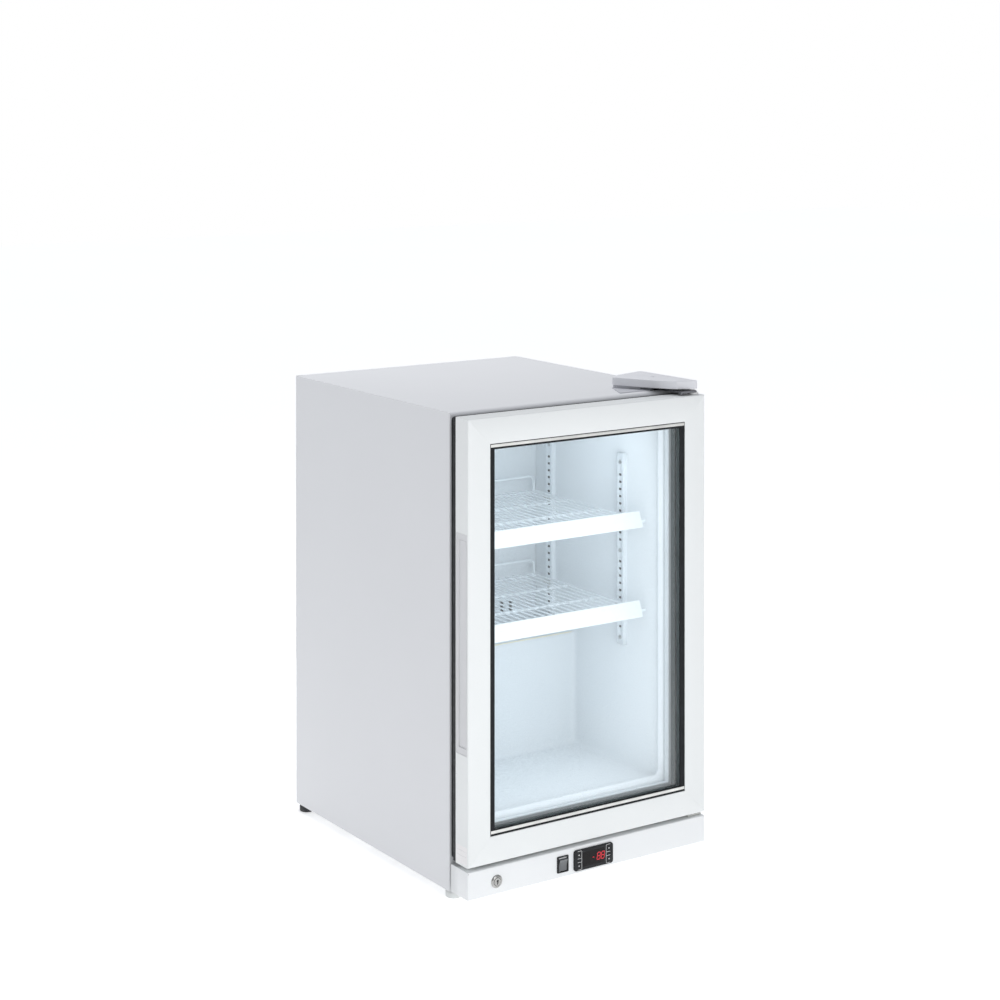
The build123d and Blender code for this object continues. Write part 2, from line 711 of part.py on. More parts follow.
def switch_housing():
    """Snap-in switch body with a bezel and the well that the rocker sits in."""
    flange = block(switch_x - switch_width / 2, switch_x + switch_width / 2, door_front - switch_flange,
                   door_front, control_height - switch_height / 2, control_height + switch_height / 2)
    flange = fillet(flange.edges().filter_by(Axis.Y), 1.5)
    wide, high = switch_width / 2 - switch_lip_x, switch_height / 2 - switch_lip_z
    body = block(switch_x - wide, switch_x + wide, door_front, door_front + switch_depth,
                 control_height - high, control_height + high)
    well_wide, well_high = rocker_width / 2 + free_gap, rocker_half + 1.4
    well = block(switch_x - well_wide, switch_x + well_wide, door_front - switch_flange,
                 rocker_pivot_y + rocker_half, control_height - well_high, control_height + well_high)
    pivot = rod_x(1.5 + running_fit, rocker_pivot_y, control_height, switch_x - well_wide - 1.2,
                  switch_x + well_wide + 1.2)
    return flange + body - well - pivot


def switch_rocker():
    """Rocker with a hollowed face and two trunnions, tilted with its upper end standing out."""
    half = rocker_half
    points = [(-rocker_tip, half), (-rocker_tip + 1.6, 0), (-rocker_tip, -half), (-1.0, -half), (3.0, -3.0),
              (3.0, 3.0), (-1.0, half)]
    body = side_prism(points, -rocker_width / 2, rocker_width / 2)
    pins = rod_x(1.5, 0, 0, -rocker_width / 2 - 1.3, rocker_width / 2 + 1.3)
    return Pos(switch_x, rocker_pivot_y, control_height) * Rot(rocker_tilt, 0, 0) * (body + pins)


def button_places():
    """Name and (x, z) of each of the controller's four buttons."""
    sides = {"left": -button_x, "right": button_x}
    levels = {"upper": button_z, "lower": -button_z}
    return {f"{level}_{side}": (controller_x + sides[side], control_height + levels[level])
            for side in sides for level in levels}


def controller_housing():
    """Panel-mounted thermostat: a rounded bezel, a body behind it, a window and four button wells."""
    wide, high = controller_width / 2, controller_height / 2
    bezel = block(controller_x - wide, controller_x + wide, door_front - controller_proud, door_front,
                  control_height - high, control_height + high)
    bezel = fillet(bezel.edges().filter_by(Axis.Y), controller_corner)
    body_wide, body_high = wide - controller_lip, high - controller_lip
    body_back = door_front + controller_depth
    body = block(controller_x - body_wide, controller_x + body_wide, door_front, body_back,
                 control_height - body_high, control_height + body_high)
    shell = bezel + body
    shell -= window_block(door_front - controller_proud)
    for x, z in button_places().values():
        reach_x, reach_z = button_width / 2 + seat_gap, button_height / 2 + seat_gap
        shell -= block(x - reach_x, x + reach_x, door_front - controller_proud, door_front - 0.2,
                       z - reach_z, z + reach_z)
    return shell


def window_block(front):
    x = controller_x + window_shift
    return block(x - window_width / 2, x + window_width / 2, front, door_front - controller_proud + 1.4,
                 control_height - window_height / 2, control_height + window_height / 2)


def controller_button(place):
    x, z = place
    front = door_front - controller_proud - button_proud
    back = door_front - 0.2 - button_travel - seat_gap
    button = block(x - button_width / 2, x + button_width / 2, front, back,
                   z - button_height / 2, z + button_height / 2)
    return fillet(button.edges().filter_by(Axis.Y), 2.0)


# ---- hinges -----------------------------------------------------------------------------------------
def cover_outline(inset):
    """(x, y) outline of the top hinge's cover, drawn in by inset."""
    right, tip = half_width - 6.0 - inset, door_front + 4.5 + inset
    return [(half_width - 97 + inset * 1.6, 66 - inset * 0.4), (half_width - 76 + inset, 80 - inset),
            (half_width - 14 - inset, 97 - inset), (right, tip), (half_width - 40 + inset * 0.6, -31 + inset),
            (half_width - 57 + inset, -9 + inset * 0.6)]


def hinge_cover():
    """Moulded cap over the top hinge: a flat top on a skirt."""
    low = cabinet_height + plinth_height
    high = low + hinge_cover_height
    cap = plan_prism(cover_outline(0), low, high, 5.0)
    cap = fillet(cap.edges().group_by(Axis.Z)[-1], 1.5)
    cap -= plan_prism(cover_outline(hinge_cover_wall), low, high - hinge_cover_wall, 3.0)
    x, y = cover_screw_place
    post = upright(5.0, x, y, cabinet_height + bracket_sheet, high - hinge_cover_wall)
    return cap + post - upright(screw_radius + 0.4, x, y, high - screw_head, high)


def hinge_plinth():
    """Spacer between the cabinet's top and the cover, round the hinge bracket."""
    low, high = cabinet_height, cabinet_height + plinth_height
    body = plan_prism(cover_outline(1.0), low, high, 4.0)
    body -= plan_prism(cover_outline(5.0), low, high, 2.0)
    return body - block(0, half_width, door_front - 10, edge_bend, low, high)


def top_hinge_bracket():
    """Steel plate on the cabinet's top with a tongue forward to the hinge axis, its pin and a stop pin."""
    low, high = cabinet_height, cabinet_height + bracket_sheet
    plate = plan_prism(cover_outline(5.5), low, high, 2.0)
    plate &= block(0, half_width, edge_bend, cabinet_depth, low, high)
    right = half_width - 6.0 - 2 * hinge_cover_wall
    plate += block(pin_x - stop_pin_offset - 7, right, pin_y - 8, edge_bend, low, high)
    pin = upright(pin_radius, pin_x, pin_y, door_top - pin_depth, high)
    stop = upright(stop_pin_radius, pin_x - stop_pin_offset, pin_y, door_top + 1.0, high)
    return joined([plate, pin, stop])


def bottom_hinge_bracket():
    """Angle bracket on the cabinet's front below the door, with the lower pin and its washer."""
    low, high = kick_top + free_gap, kick_top + free_gap + bracket_leg
    left, right = pin_x - 18, half_width - 2.0
    arm = block(left, right, pin_y - 9, 0, low, high)
    leg = block(left, right, -bracket_leg, 0, low - 34, high)
    pin = upright(pin_radius, pin_x, pin_y, low, door_bottom + pin_depth)
    washer = upright(bush_flange, pin_x, pin_y, high, door_bottom - free_gap)
    return joined([arm, leg, pin, washer])


def hinge_screws():
    """Heads of the screws of the top bracket, the cover and the lower bracket's leg."""
    shapes = []
    seat = cabinet_height + bracket_sheet
    for dx, y in ((-62, 62), (-24, 80), (-24, 40)):
        shapes.append(upright(screw_radius, half_width + dx, y, seat, seat + screw_head))
    x, y = cover_screw_place
    top = cabinet_height + plinth_height + hinge_cover_height
    shapes.append(upright(screw_radius, x, y, top - screw_head, top - 0.4))
    for drop in (12, 26):
        head = (-bracket_leg - screw_head, -bracket_leg)
        shapes.append(rod_y(screw_radius, pin_x - 6, kick_top - drop, *head))
    return group(shapes)


# ---- door -------------------------------------------------------------------------------------------
def chamber(clearance):
    """The hollow inside the door's frame, as a ring."""
    outer = half_width - frame_wall - clearance
    band = frame_width - glass_bite - 4 * frame_wall + frame_wall - 2 * clearance
    return ring(outer, door_bottom + frame_wall + clearance, door_top - frame_wall - clearance, band,
                door_front + frame_wall + clearance, door_back - frame_wall - clearance)


def bushing_holes():
    holes = upright(bush_radius, pin_x, pin_y, door_bottom, door_bottom + pin_depth + 4)
    return holes + upright(bush_radius, pin_x, pin_y, door_top - pin_depth - 4, door_top)


def door_frame():
    """The four bars of the frame in one: a hollow section with a rebate for the glass."""
    frame = block(-half_width, half_width, door_front, door_back, door_bottom, door_top)
    frame = fillet(frame.edges().filter_by(Plane.XZ).group_by(Axis.Y)[0], frame_edge)
    frame -= block(-opening_half, opening_half, door_front, door_back, opening_bottom, opening_top)
    rebate = glass_bite + frame_wall
    frame -= block(-opening_half - rebate, opening_half + rebate, pane_front, pane_back,
                   opening_bottom - rebate, opening_top + rebate)
    return frame - chamber(0) - bushing_holes()


def bar_outline(name):
    """(x, z) corners of one mitred bar."""
    outer, inner = half_width, opening_half
    low, high, sill, head = door_bottom, door_top, opening_bottom, opening_top
    return {
        "rail_top": [(-outer, high), (outer, high), (inner, head), (-inner, head)],
        "rail_bottom": [(-outer, low), (outer, low), (inner, sill), (-inner, sill)],
        "stile_left": [(-outer, low), (-outer, high), (-inner, head), (-inner, sill)],
        "stile_right": [(outer, low), (outer, high), (inner, head), (inner, sill)],
    }[name]


def door_bar(frame, name):
    """One bar of the frame, cut from it along its mitres."""
    face = make_face(Polyline(*bar_outline(name), close=True))
    cutter = Pos(0, door_front - 1, 0) * extrude(Plane.XZ * face, -(door_thickness + 2))
    return frame & cutter


def corner_keys():
    """L-shaped blocks that join the bars inside their hollows."""
    filling = chamber(0.1)
    corners = []
    reach_x, reach_z = half_width - key_leg, key_leg
    for side in (-1, 1):
        for low, high in ((door_bottom, door_bottom + reach_z), (door_top - reach_z, door_top)):
            box = block(*sorted((side * reach_x, side * half_width)), door_front, door_back, low, high)
            corners.append((filling & box) - bushing_holes())
    return group(corners)


def bushings():
    """Plain bearings in the door's top and bottom, which turn on the hinge pins."""
    bore = pin_radius + running_fit
    lower = upright(bush_radius, pin_x, pin_y, door_bottom, door_bottom + pin_depth + 4)
    lower -= upright(bore, pin_x, pin_y, door_bottom, door_bottom + pin_depth + 1)
    upper = upright(bush_radius, pin_x, pin_y, door_top - pin_depth - 4, door_top)
    upper += upright(bush_flange, pin_x, pin_y, door_top, door_top + bush_proud)
    upper -= upright(bore, pin_x, pin_y, door_top - pin_depth - 1, door_top + bush_proud)
    return group([lower, upper])


def pane(y_low):
    reach = opening_half + glass_bite
    return block(-reach, reach, y_low, y_low + glass, opening_bottom - glass_bite, opening_top + glass_bite)


def glass_spacer():
    """Hollow bar between the panes, near their edges."""
    reach = glass_bite - spacer_inset
    return ring(opening_half + reach, opening_bottom - reach, opening_top + reach, spacer_height,
                spacer_front, spacer_back)


def glazing_gasket():
    """Black border on the front glass, against the frame's lip, and the rear seal inside the back lip."""
    face = pane_front - glazing_sheet
    border = ring(opening_half, opening_bottom, opening_top, glazing_band, face, pane_front)
    rear = ring(opening_half, opening_bottom, opening_top, rear_seal, pane_back, door_back)
    return group([border, rear])


def glazing_strip(z_low):
    """Thin satin strip along the glazing gasket."""
    front = pane_front - glazing_sheet
    half = opening_half - strip_offset
    return block(-half, half, front - strip_sheet, front, z_low, z_low + strip_height)


def door_rear_trim():
    """Black moulding on the back of the frame, which backs the gasket, and the bead inside it."""
    back = door_back + trim_depth
    carrier = trim_width - bead_width
    step = carrier + seat_gap
    moulding = ring(half_width, door_bottom, door_top, carrier, door_back, back)
    low, high = door_bottom + step, door_top - step
    bead = ring(half_width - step, low, high, bead_width - seat_gap, door_back, back)
    return group([moulding, bead])


def door_gasket():
    """Magnetic seal: a soft hollow section that meets the cabinet's front, and a skirt outside it."""
    outer = half_width - gasket_inset
    low, high = door_bottom + gasket_inset, door_top - gasket_inset
    front, back = door_back + trim_depth, -free_gap
    seal = ring(outer, low, high, gasket_width, front, back)
    skirt_band = gasket_inset - skirt_inset + 2
    seal += ring(half_width - skirt_inset, door_bottom + skirt_inset, door_top - skirt_inset, skirt_band,
                 front, -skirt_gap)
    return seal - ring(outer - 4, low + 4, high - 4, gasket_width - 8, front + 2, back - 2)


def handle_insert():
    """Recessed pull in the left stile's outer face: a flat plate round a tapered pocket."""
    face = -half_width
    low, high = handle_z, handle_z + handle_height
    front, back = handle_front, handle_front + handle_width
    plate = block(face, face + frame_wall, front, back, low, high)
    plate += block(face + frame_wall, face + handle_depth + 1.4, front + 2, back - 3, low + 4, high - 4)
    mouth = [(front + 2.2, low + handle_end_border), (back - handle_border, low + handle_end_border),
             (back - handle_border, high - handle_end_border), (front + 2.2, high - handle_end_border)]
    floor = [(front + 2.2 + handle_slope, low + handle_end_border + handle_end_slope),
             (back - handle_border - 2, low + handle_end_border + handle_end_slope),
             (back - handle_border - 2, high - handle_end_border - handle_end_slope),
             (front + 2.2 + handle_slope, high - handle_end_border - handle_end_slope)]
    sections = [Pos(x, 0, 0) * (Plane.YZ * make_face(Polyline(*points, close=True)))
                for x, points in ((face, mouth), (face + handle_depth, floor))]
    return plate - loft(sections)


def handle_cutout():
    """What the left stile gives up to the handle insert."""
    return block(-half_width, -half_width + frame_wall, handle_front, handle_front + handle_width,
                 handle_z, handle_z + handle_height)


# ---- shelves ----------------------------------------------------------------------------------------
def shelf_grid(height):
    """Wire shelf: a frame, deck wires from front to back, two cross wires and a raised wire at the rear."""
    side = inner_half - shelf_gap
    deck = height + frame_wire + deck_wire - deck_sink
    horn = side + shelf_horn
    stop = height + backstop_height
    wires = [rod_x(frame_wire, shelf_front, height, -horn, horn)]
    wires.append(rod_x(frame_wire, shelf_back, height, -side - frame_wire, side + frame_wire))
    for y in (shelf_front + (shelf_back - shelf_front) * share for share in (0.36, 0.68)):
        wires.append(rod_x(frame_wire * 0.8, y, height + frame_wire * 0.2, -side, side))
    for x in (-side, side):
        wires.append(rod_y(frame_wire - 0.1, x, height, shelf_front, shelf_back))
    count = int(2 * (side - 6) / deck_pitch)
    for i in range(count + 1):
        x = (i - count / 2) * deck_pitch
        wires.append(rod_y(deck_wire, x, deck, shelf_front - deck_overhang, shelf_back + deck_overhang))
    rise = [(-side, shelf_back, height), (-side, shelf_back, stop), (side, shelf_back, stop),
            (side, shelf_back, height)]
    wires.append(pipe(rise, frame_wire * 0.9, shelf_corner))
    return joined(wires)


def ticket_strip(height):
    """Extruded price rail in front of the shelf: a leaning plate with a lip at its foot, a rolled top and a
    rib under the front wire."""
    half = inner_half - strip_width_gap
    low, high = height - strip_low, height + strip_high
    lean = strip_lean / (strip_high + strip_low)
    deck_rise = frame_wire + 2 * deck_wire - deck_sink
    front = shelf_front - deck_overhang - seat_gap - strip_wall - lean * (strip_low + deck_rise)

    def inner(z):
        return front + strip_wall + lean * (z - low)

    rib_top = height - frame_wire
    rib_low = rib_top - strip_wall
    rib_end, top, fold = shelf_front + 1.5, front + strip_lean, high - strip_wall
    points = [(front, low), (inner(low) + 3.0, low), (inner(low) + 3.0, low + strip_wall),
              (inner(low + strip_wall), low + strip_wall), (inner(rib_low), rib_low), (rib_end, rib_low),
              (rib_end, rib_top), (inner(rib_top), rib_top), (inner(fold), fold), (inner(fold) + 1.5, fold),
              (inner(fold) + 1.5, high), (top, high)]
    return side_prism(points, -half, half)


# ---- places that several pieces share ---------------------------------------------------------------
compressor_place = (-half_width * 0.5, machine_front + 95)
grommet_offsets = ((-68, -40), (68, -40), (-68, 40), (68, 40))
tray_low = pan_sheet + grommet_height + 3 + compressor_height
drain_x, drain_y = compressor_place[0], compressor_place[1] + 30
drier_place = (-8.0, machine_front + 26)
condenser_x = half_width - 20 - condenser_width / 2
condenser_fan_z = pan_sheet + condenser_height / 2
condenser_fan_y = machine_front + 8 + condenser_depth + 28
condenser_motor_back = condenser_fan_y + 62
fan_z = hump_top + 44 + evaporator_height + evaporator_fan_radius + 40
inlet_place = (-half_width + 52, 60.0)
lamp_front = throat_depth + 6
cover_screw_place = (half_width - 39, 31.6)
cam_front = door_front + lock_length + free_gap
front_foot_y, rear_foot_y = foot_front_inset, cabinet_depth - foot_rear_inset
foot_places = {f"{end}_foot_{name}": (side * (half_width - foot_side_inset), y)
               for end, y in (("front", front_foot_y), ("rear", rear_foot_y))
               for name, side in (("left", -1), ("right", 1))}

# ---- the pieces -------------------------------------------------------------------------------------
pieces = {
    "side_panels": group([side_panel(-1), side_panel(1)]),
    "top_panel": top_panel(),
    "back_panel": back_panel(),
    "inner_liner": inner_liner(),
    "insulation_foam": insulation_foam(),
    "machine_bulkhead": machine_bulkhead(),
    "throat_frame": throat_frame(),
    "base_pan": base_pan(),
    "evaporator_cover": evaporator_cover(),
    "evaporator_coil": evaporator_coil(),
    "evaporator_fan_motor": fan_motor(0, fan_z, liner_back, 22, 40, liner_back - 62),
    "evaporator_fan_blade": fan_blade(0, fan_z, liner_back - 52, evaporator_fan_radius, 12, 5),
    "interior_lamp": interior_lamp(),
    "temperature_probe": temperature_probe(),
    "pilasters": on_both_walls([pilaster(pilaster_front), pilaster(pilaster_rear)]),
    "screws": group([rail_screws(), rear_screws(), hinge_screws()]),
    "shelf_clips": shelf_clips(),
    "compressor": compressor(),
    "compressor_grommets": compressor_grommets(),
    "condenser_coil": condenser_coil(),
    "condenser_fan_motor": condenser_motor(),
    "condenser_fan_blade": fan_blade(condenser_x, condenser_fan_z, condenser_fan_y,
                                     condenser_fan_radius, 16, 5),
    "condensate_tray": condensate_tray(),
    "drain_tube": drain_tube(),
    "refrigerant_line": group([filter_drier(), refrigerant_pipes()]),
    "rear_grille": rear_grille(),
    "power_inlet": power_inlet(),
    "kick_panel": kick_panel(),
    "lock_barrel": lock_barrel(),
    "lock_plug": lock_plug(),
    "lock_cam": lock_cam(),
    "switch_housing": switch_housing(),
    "switch_rocker": switch_rocker(),
    "controller_housing": controller_housing(),
    "controller_window": window_block(door_front - controller_proud + 0.2),
    "hinge_cover": group([hinge_cover(), hinge_plinth()]),
    "top_hinge_bracket": top_hinge_bracket(),
    "bottom_hinge_bracket": bottom_hinge_bracket(),
    "door_corner_keys": corner_keys(),
    "door_bushings": bushings(),
    "glass_panes": group([pane(pane_front), pane(spacer_back)]),
    "glass_spacer": glass_spacer(),
    "glazing_gasket": glazing_gasket(),
    "glazing_strips": group([glazing_strip(opening_top - strip_offset - strip_height),
                             glazing_strip(opening_bottom + strip_foot)]),
    "door_rear_trim": door_rear_trim(),
    "door_gasket": door_gasket(),
    "handle_insert": handle_insert(),
}
frame = door_frame()
pieces["door_rails"] = group([door_bar(frame, "rail_top"), door_bar(frame, "rail_bottom")])
stile_left = door_bar(frame, "stile_left") - handle_cutout()
pieces["door_stiles"] = group([stile_left, door_bar(frame, "stile_right")])
for name in ("front_foot_left", "front_foot_right"):
    pieces[name] = levelling_foot(*foot_places[name])
rear_places = (foot_places["rear_foot_left"], foot_places["rear_foot_right"])
pieces["rear_feet"] = group([levelling_foot(*place) for place in rear_places])
for name, place in button_places().items():
    pieces[f"button_{name}"] = controller_button(place)
for name, height in shelf_heights.items():
    pieces[f"shelf_{name}_grid"] = shelf_grid(height)
    pieces[f"ticket_strip_{name}"] = ticket_strip(height)

os.makedirs("parts", exist_ok=True)
for name, shape in pieces.items():
    export_step(origin_shift * shape, f"parts/{name}.step")
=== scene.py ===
from math import cos, pi, radians, sin

import bmesh
import bpy
import numpy as np
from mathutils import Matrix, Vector


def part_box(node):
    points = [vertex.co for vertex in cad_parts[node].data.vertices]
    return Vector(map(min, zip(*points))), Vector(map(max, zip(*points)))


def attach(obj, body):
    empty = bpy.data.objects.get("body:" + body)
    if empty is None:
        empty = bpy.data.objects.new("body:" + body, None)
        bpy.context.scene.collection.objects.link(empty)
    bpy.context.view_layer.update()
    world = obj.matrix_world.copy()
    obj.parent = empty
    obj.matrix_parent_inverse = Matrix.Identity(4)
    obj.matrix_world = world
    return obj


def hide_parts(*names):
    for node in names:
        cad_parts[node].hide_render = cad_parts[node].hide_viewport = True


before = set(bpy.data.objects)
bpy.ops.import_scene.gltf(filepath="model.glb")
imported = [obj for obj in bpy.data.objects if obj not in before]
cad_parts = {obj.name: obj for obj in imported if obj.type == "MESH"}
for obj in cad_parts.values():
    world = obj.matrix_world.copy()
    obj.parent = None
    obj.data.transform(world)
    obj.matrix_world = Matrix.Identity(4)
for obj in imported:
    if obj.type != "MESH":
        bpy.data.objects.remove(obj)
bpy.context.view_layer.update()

# Undercounter display refrigerator: the looks of its pieces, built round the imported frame.
# Metres, +X to the right as one faces the door, +Y towards the back, +Z up, the floor at z = 0.

# ---- places read from the frame -----------------------------------------------------------------------
side_low, side_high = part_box("side_panels")
stile_low, stile_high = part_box("door_stiles")
throat_low, throat_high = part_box("throat_frame")
kick_low, kick_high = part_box("kick_panel")
gasket_low, gasket_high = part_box("glazing_gasket")
spacer_low, spacer_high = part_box("glass_spacer")
trim_low, trim_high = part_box("door_rear_trim")
seal_low, seal_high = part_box("door_gasket")
handle_low, handle_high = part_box("handle_insert")
cover_low, cover_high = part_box("hinge_cover")
rail_low, rail_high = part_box("pilasters")
barrel_low, barrel_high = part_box("lock_barrel")
plug_low, plug_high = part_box("lock_plug")
switch_low, switch_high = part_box("switch_housing")
control_low, control_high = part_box("controller_housing")
window_low, window_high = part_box("controller_window")
grille_low, grille_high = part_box("rear_grille")
back_low, back_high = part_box("back_panel")
inlet_low, inlet_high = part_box("power_inlet")

half = side_high.x
front, back = side_low.y, side_high.y
panel_low, panel_top = side_low.z, side_high.z
door_front, door_back = stile_low.y, stile_high.y
door_low, door_high = stile_low.z, stile_high.z

# ---- sizes of the looks' own detail -------------------------------------------------------------------
MM = 0.001
sheet = 1.0 * MM
side_fold = 18 * MM
top_fold = 22 * MM
top_roll = 9 * MM
frame_width = 40 * MM
glass_lip = 3.2 * MM
glass = 4 * MM
glass_bite = 6 * MM
glass_unit = 20 * MM  # both panes and the space between them
film = 0.12 * MM  # the door's side face lies this far inside the outer box, under the label
inner_half = half - 45 * MM
floor_level = panel_low + 93 * MM
ceiling = panel_low + 677 * MM
liner_back = front + 440 * MM
hump_front = front + 239 * MM
hump_top = panel_low + 282 * MM


# ---- outlines and surfaces ----------------------------------------------------------------------------
def rounded(corners, radius, steps=6, closed=True):
    """Straight runs between corners, each corner turned by a tangent arc of its own radius: the arc's points
    are the two tangent directions blended by sine weights, so they lie on a circle."""
    p = np.asarray(corners, float)
    r = np.array(np.broadcast_to(np.asarray(radius, float), len(p)))
    if not closed:
        r[[0, -1]] = 0.0
    to_last, to_next = np.roll(p, 1, 0) - p, np.roll(p, -1, 0) - p
    to_last /= np.maximum(np.linalg.norm(to_last, axis=1, keepdims=True), 1e-12)
    to_next /= np.maximum(np.linalg.norm(to_next, axis=1, keepdims=True), 1e-12)
    opening = np.arccos(np.clip((to_last * to_next).sum(1), -1, 1)) / 2
    reach = (r / np.tan(np.maximum(opening, 1e-6)))[:, None]
    middle = to_last + to_next
    middle /= np.maximum(np.linalg.norm(middle, axis=1, keepdims=True), 1e-12)
    centre = p + middle * (r / np.sin(np.maximum(opening, 1e-6)))[:, None]
    start, end = p + to_last * reach - centre, p + to_next * reach - centre
    share = np.linspace(0, 1, steps)[None, :, None]
    turn = np.clip(pi - 2 * opening, 1e-6, pi - 1e-6)[:, None, None]
    spread = np.sin((1 - share) * turn) * start[:, None] + np.sin(share * turn) * end[:, None]
    return (centre[:, None] + spread / np.sin(turn)).reshape(-1, p.shape[1])


def distinct(points):
    """The points of a line without repeats next to each other."""
    step = np.linalg.norm(np.diff(points, axis=0), axis=1)
    return points[np.concatenate([[True], step > 1e-7])]


def rectangle(low, high, radius, steps=6):
    """A rectangle between two opposite corners, with rounded corners, anticlockwise."""
    (a, b), (c, d) = low, high
    return rounded([(a, b), (c, b), (c, d), (a, d)], radius, steps)


def thick_line(points, thickness):
    """A closed outline round an open line: the line moved half the thickness to each side of itself."""
    p = distinct(np.asarray(points, float))
    along = np.gradient(p, axis=0)
    along /= np.linalg.norm(along, axis=1, keepdims=True)
    step = np.diff(p, axis=0)
    step /= np.linalg.norm(step, axis=1, keepdims=True)
    bend = np.ones(len(p))
    bend[1:-1] = 1 / np.sqrt(np.maximum((1 + (step[:-1] * step[1:]).sum(1)) / 2, 0.2))
    along[1:-1] = step[:-1] + step[1:]
    along /= np.linalg.norm(along, axis=1, keepdims=True)
    across = np.stack([-along[:, 1], along[:, 0]], 1) * (thickness / 2 * bend)[:, None]
    return np.concatenate([p + across, (p - across)[::-1]])


def on_axis(outline, level, axis):
    """A flat outline as points in space: (x, y) on an axis of z, (y, z) on x, (x, z) on y, at that level."""
    flat = np.asarray(outline, float)
    level = np.broadcast_to(level, len(flat))
    order = {"z": (flat[:, 0], flat[:, 1], level), "x": (level, flat[:, 0], flat[:, 1]),
             "y": (flat[:, 0], level, flat[:, 1])}
    return np.stack(order[axis], 1)


def surface(rows, around=True, closed=False, first=True, last=True):
    """Four-sided faces between a grid's neighbouring points, as (points, faces). around joins each row's
    ends, closed joins the last row to the first, and first and last close the end rows with a face."""
    grid = np.asarray(rows, float)
    count, width = grid.shape[:2]
    index = np.arange(count * width).reshape(count, width)
    ends = [index[0].tolist()] * first + [index[-1][::-1].tolist()] * last
    if closed:
        index, ends = np.vstack([index, index[:1]]), []
    if around:
        index = np.hstack([index, index[:, :1]])
    quads = np.stack([index[:-1, :-1], index[:-1, 1:], index[1:, 1:], index[1:, :-1]], -1)
    return grid.reshape(-1, 3), quads.reshape(-1, 4).tolist() + ends


def stack(axis, *rows):
    """Outlines at their levels along an axis, joined in order into one closed surface."""
    return surface([on_axis(outline, level, axis) for outline, level in rows])


def prism(axis, outline, low, high):
    """An outline carried straight along an axis."""
    return stack(axis, (outline, low), (outline, high))


def pillow(axis, low, high, radius, edge, levels, steps=5):
    """A rounded slab: rounded rectangles that draw in by a quarter circle at the far level's edge."""
    near, far = levels
    way = 1 if far > near else -1
    rows = [(rectangle(low, high, radius, steps), near)]
    for angle in np.linspace(0, pi / 2, 5):
        inset = edge * (1 - cos(angle))
        corner = np.array([inset, inset])
        outline = rectangle(np.array(low) + corner, np.array(high) - corner, max(radius - inset, 1e-5), steps)
        rows.append((outline, far - way * edge * (1 - sin(angle))))
    return stack(axis, *rows)


def lathe(profile, centre, axis, sides=40, ripple=None):
    """A (radius, level) profile turned about an axis through centre: the radius times cosine and sine. ripple
    scales the radius by angle."""
    profile = np.asarray(profile, float)
    turn = np.linspace(0, 2 * pi, sides, endpoint=False)
    radius = profile[:, :1] * (1 if ripple is None else ripple(turn)[None, :])
    u, v = radius * np.cos(turn), radius * np.sin(turn)
    level = np.broadcast_to(profile[:, 1:], u.shape)
    order = {"z": (u, v, level), "x": (level, u, v), "y": (u, level, v)}
    return surface(np.stack(order[axis], -1) + np.asarray(centre), first=False, last=False)


def tube(path, radius, flat_normal, sides=10):
    """A round wire along a flat path: a circle in the plane of the path's normal and its own sideways
    line."""
    p = distinct(np.asarray(path, float))
    along = np.gradient(p, axis=0)
    along /= np.linalg.norm(along, axis=1, keepdims=True)
    up = np.asarray(flat_normal, float)
    aside = np.cross(along, up)
    aside /= np.linalg.norm(aside, axis=1, keepdims=True)
    turn = np.linspace(0, 2 * pi, sides, endpoint=False)
    ringed = np.cos(turn)[None, :, None] * aside[:, None] + np.sin(turn)[None, :, None] * up[None, None]
    return surface(p[:, None] + radius * ringed)


def ring(profile, low, high, corner, steps=6):
    """A closed (inset, y) profile carried round a rectangle in the door's plane: each of its points follows
    the rectangle drawn in by its inset."""
    rows = []
    for inset, y in profile:
        a, b = np.array(low) + inset, np.array(high) - inset
        rows.append(on_axis(rectangle(a, b, max(corner - inset, 2e-5), steps), y, "y"))
    return surface(rows, closed=True)


def moved(shape, x=0.0, y=0.0, z=0.0):
    points, faces = shape
    return points + np.array([x, y, z]), faces


def mirrored(shape):
    """The shape's twin on the other side of the middle plane."""
    points, faces = shape
    return points * np.array([-1, 1, 1]), faces


def turned(shape, axis, angle, centre):
    """The shape turned about a line through centre along x, y or z."""
    points, faces = shape
    first, second = {"x": (1, 2), "y": (2, 0), "z": (0, 1)}[axis]
    p = points - np.asarray(centre)
    out = p.copy()
    out[:, first] = cos(angle) * p[:, first] - sin(angle) * p[:, second]
    out[:, second] = sin(angle) * p[:, first] + cos(angle) * p[:, second]
    return out + np.asarray(centre), faces


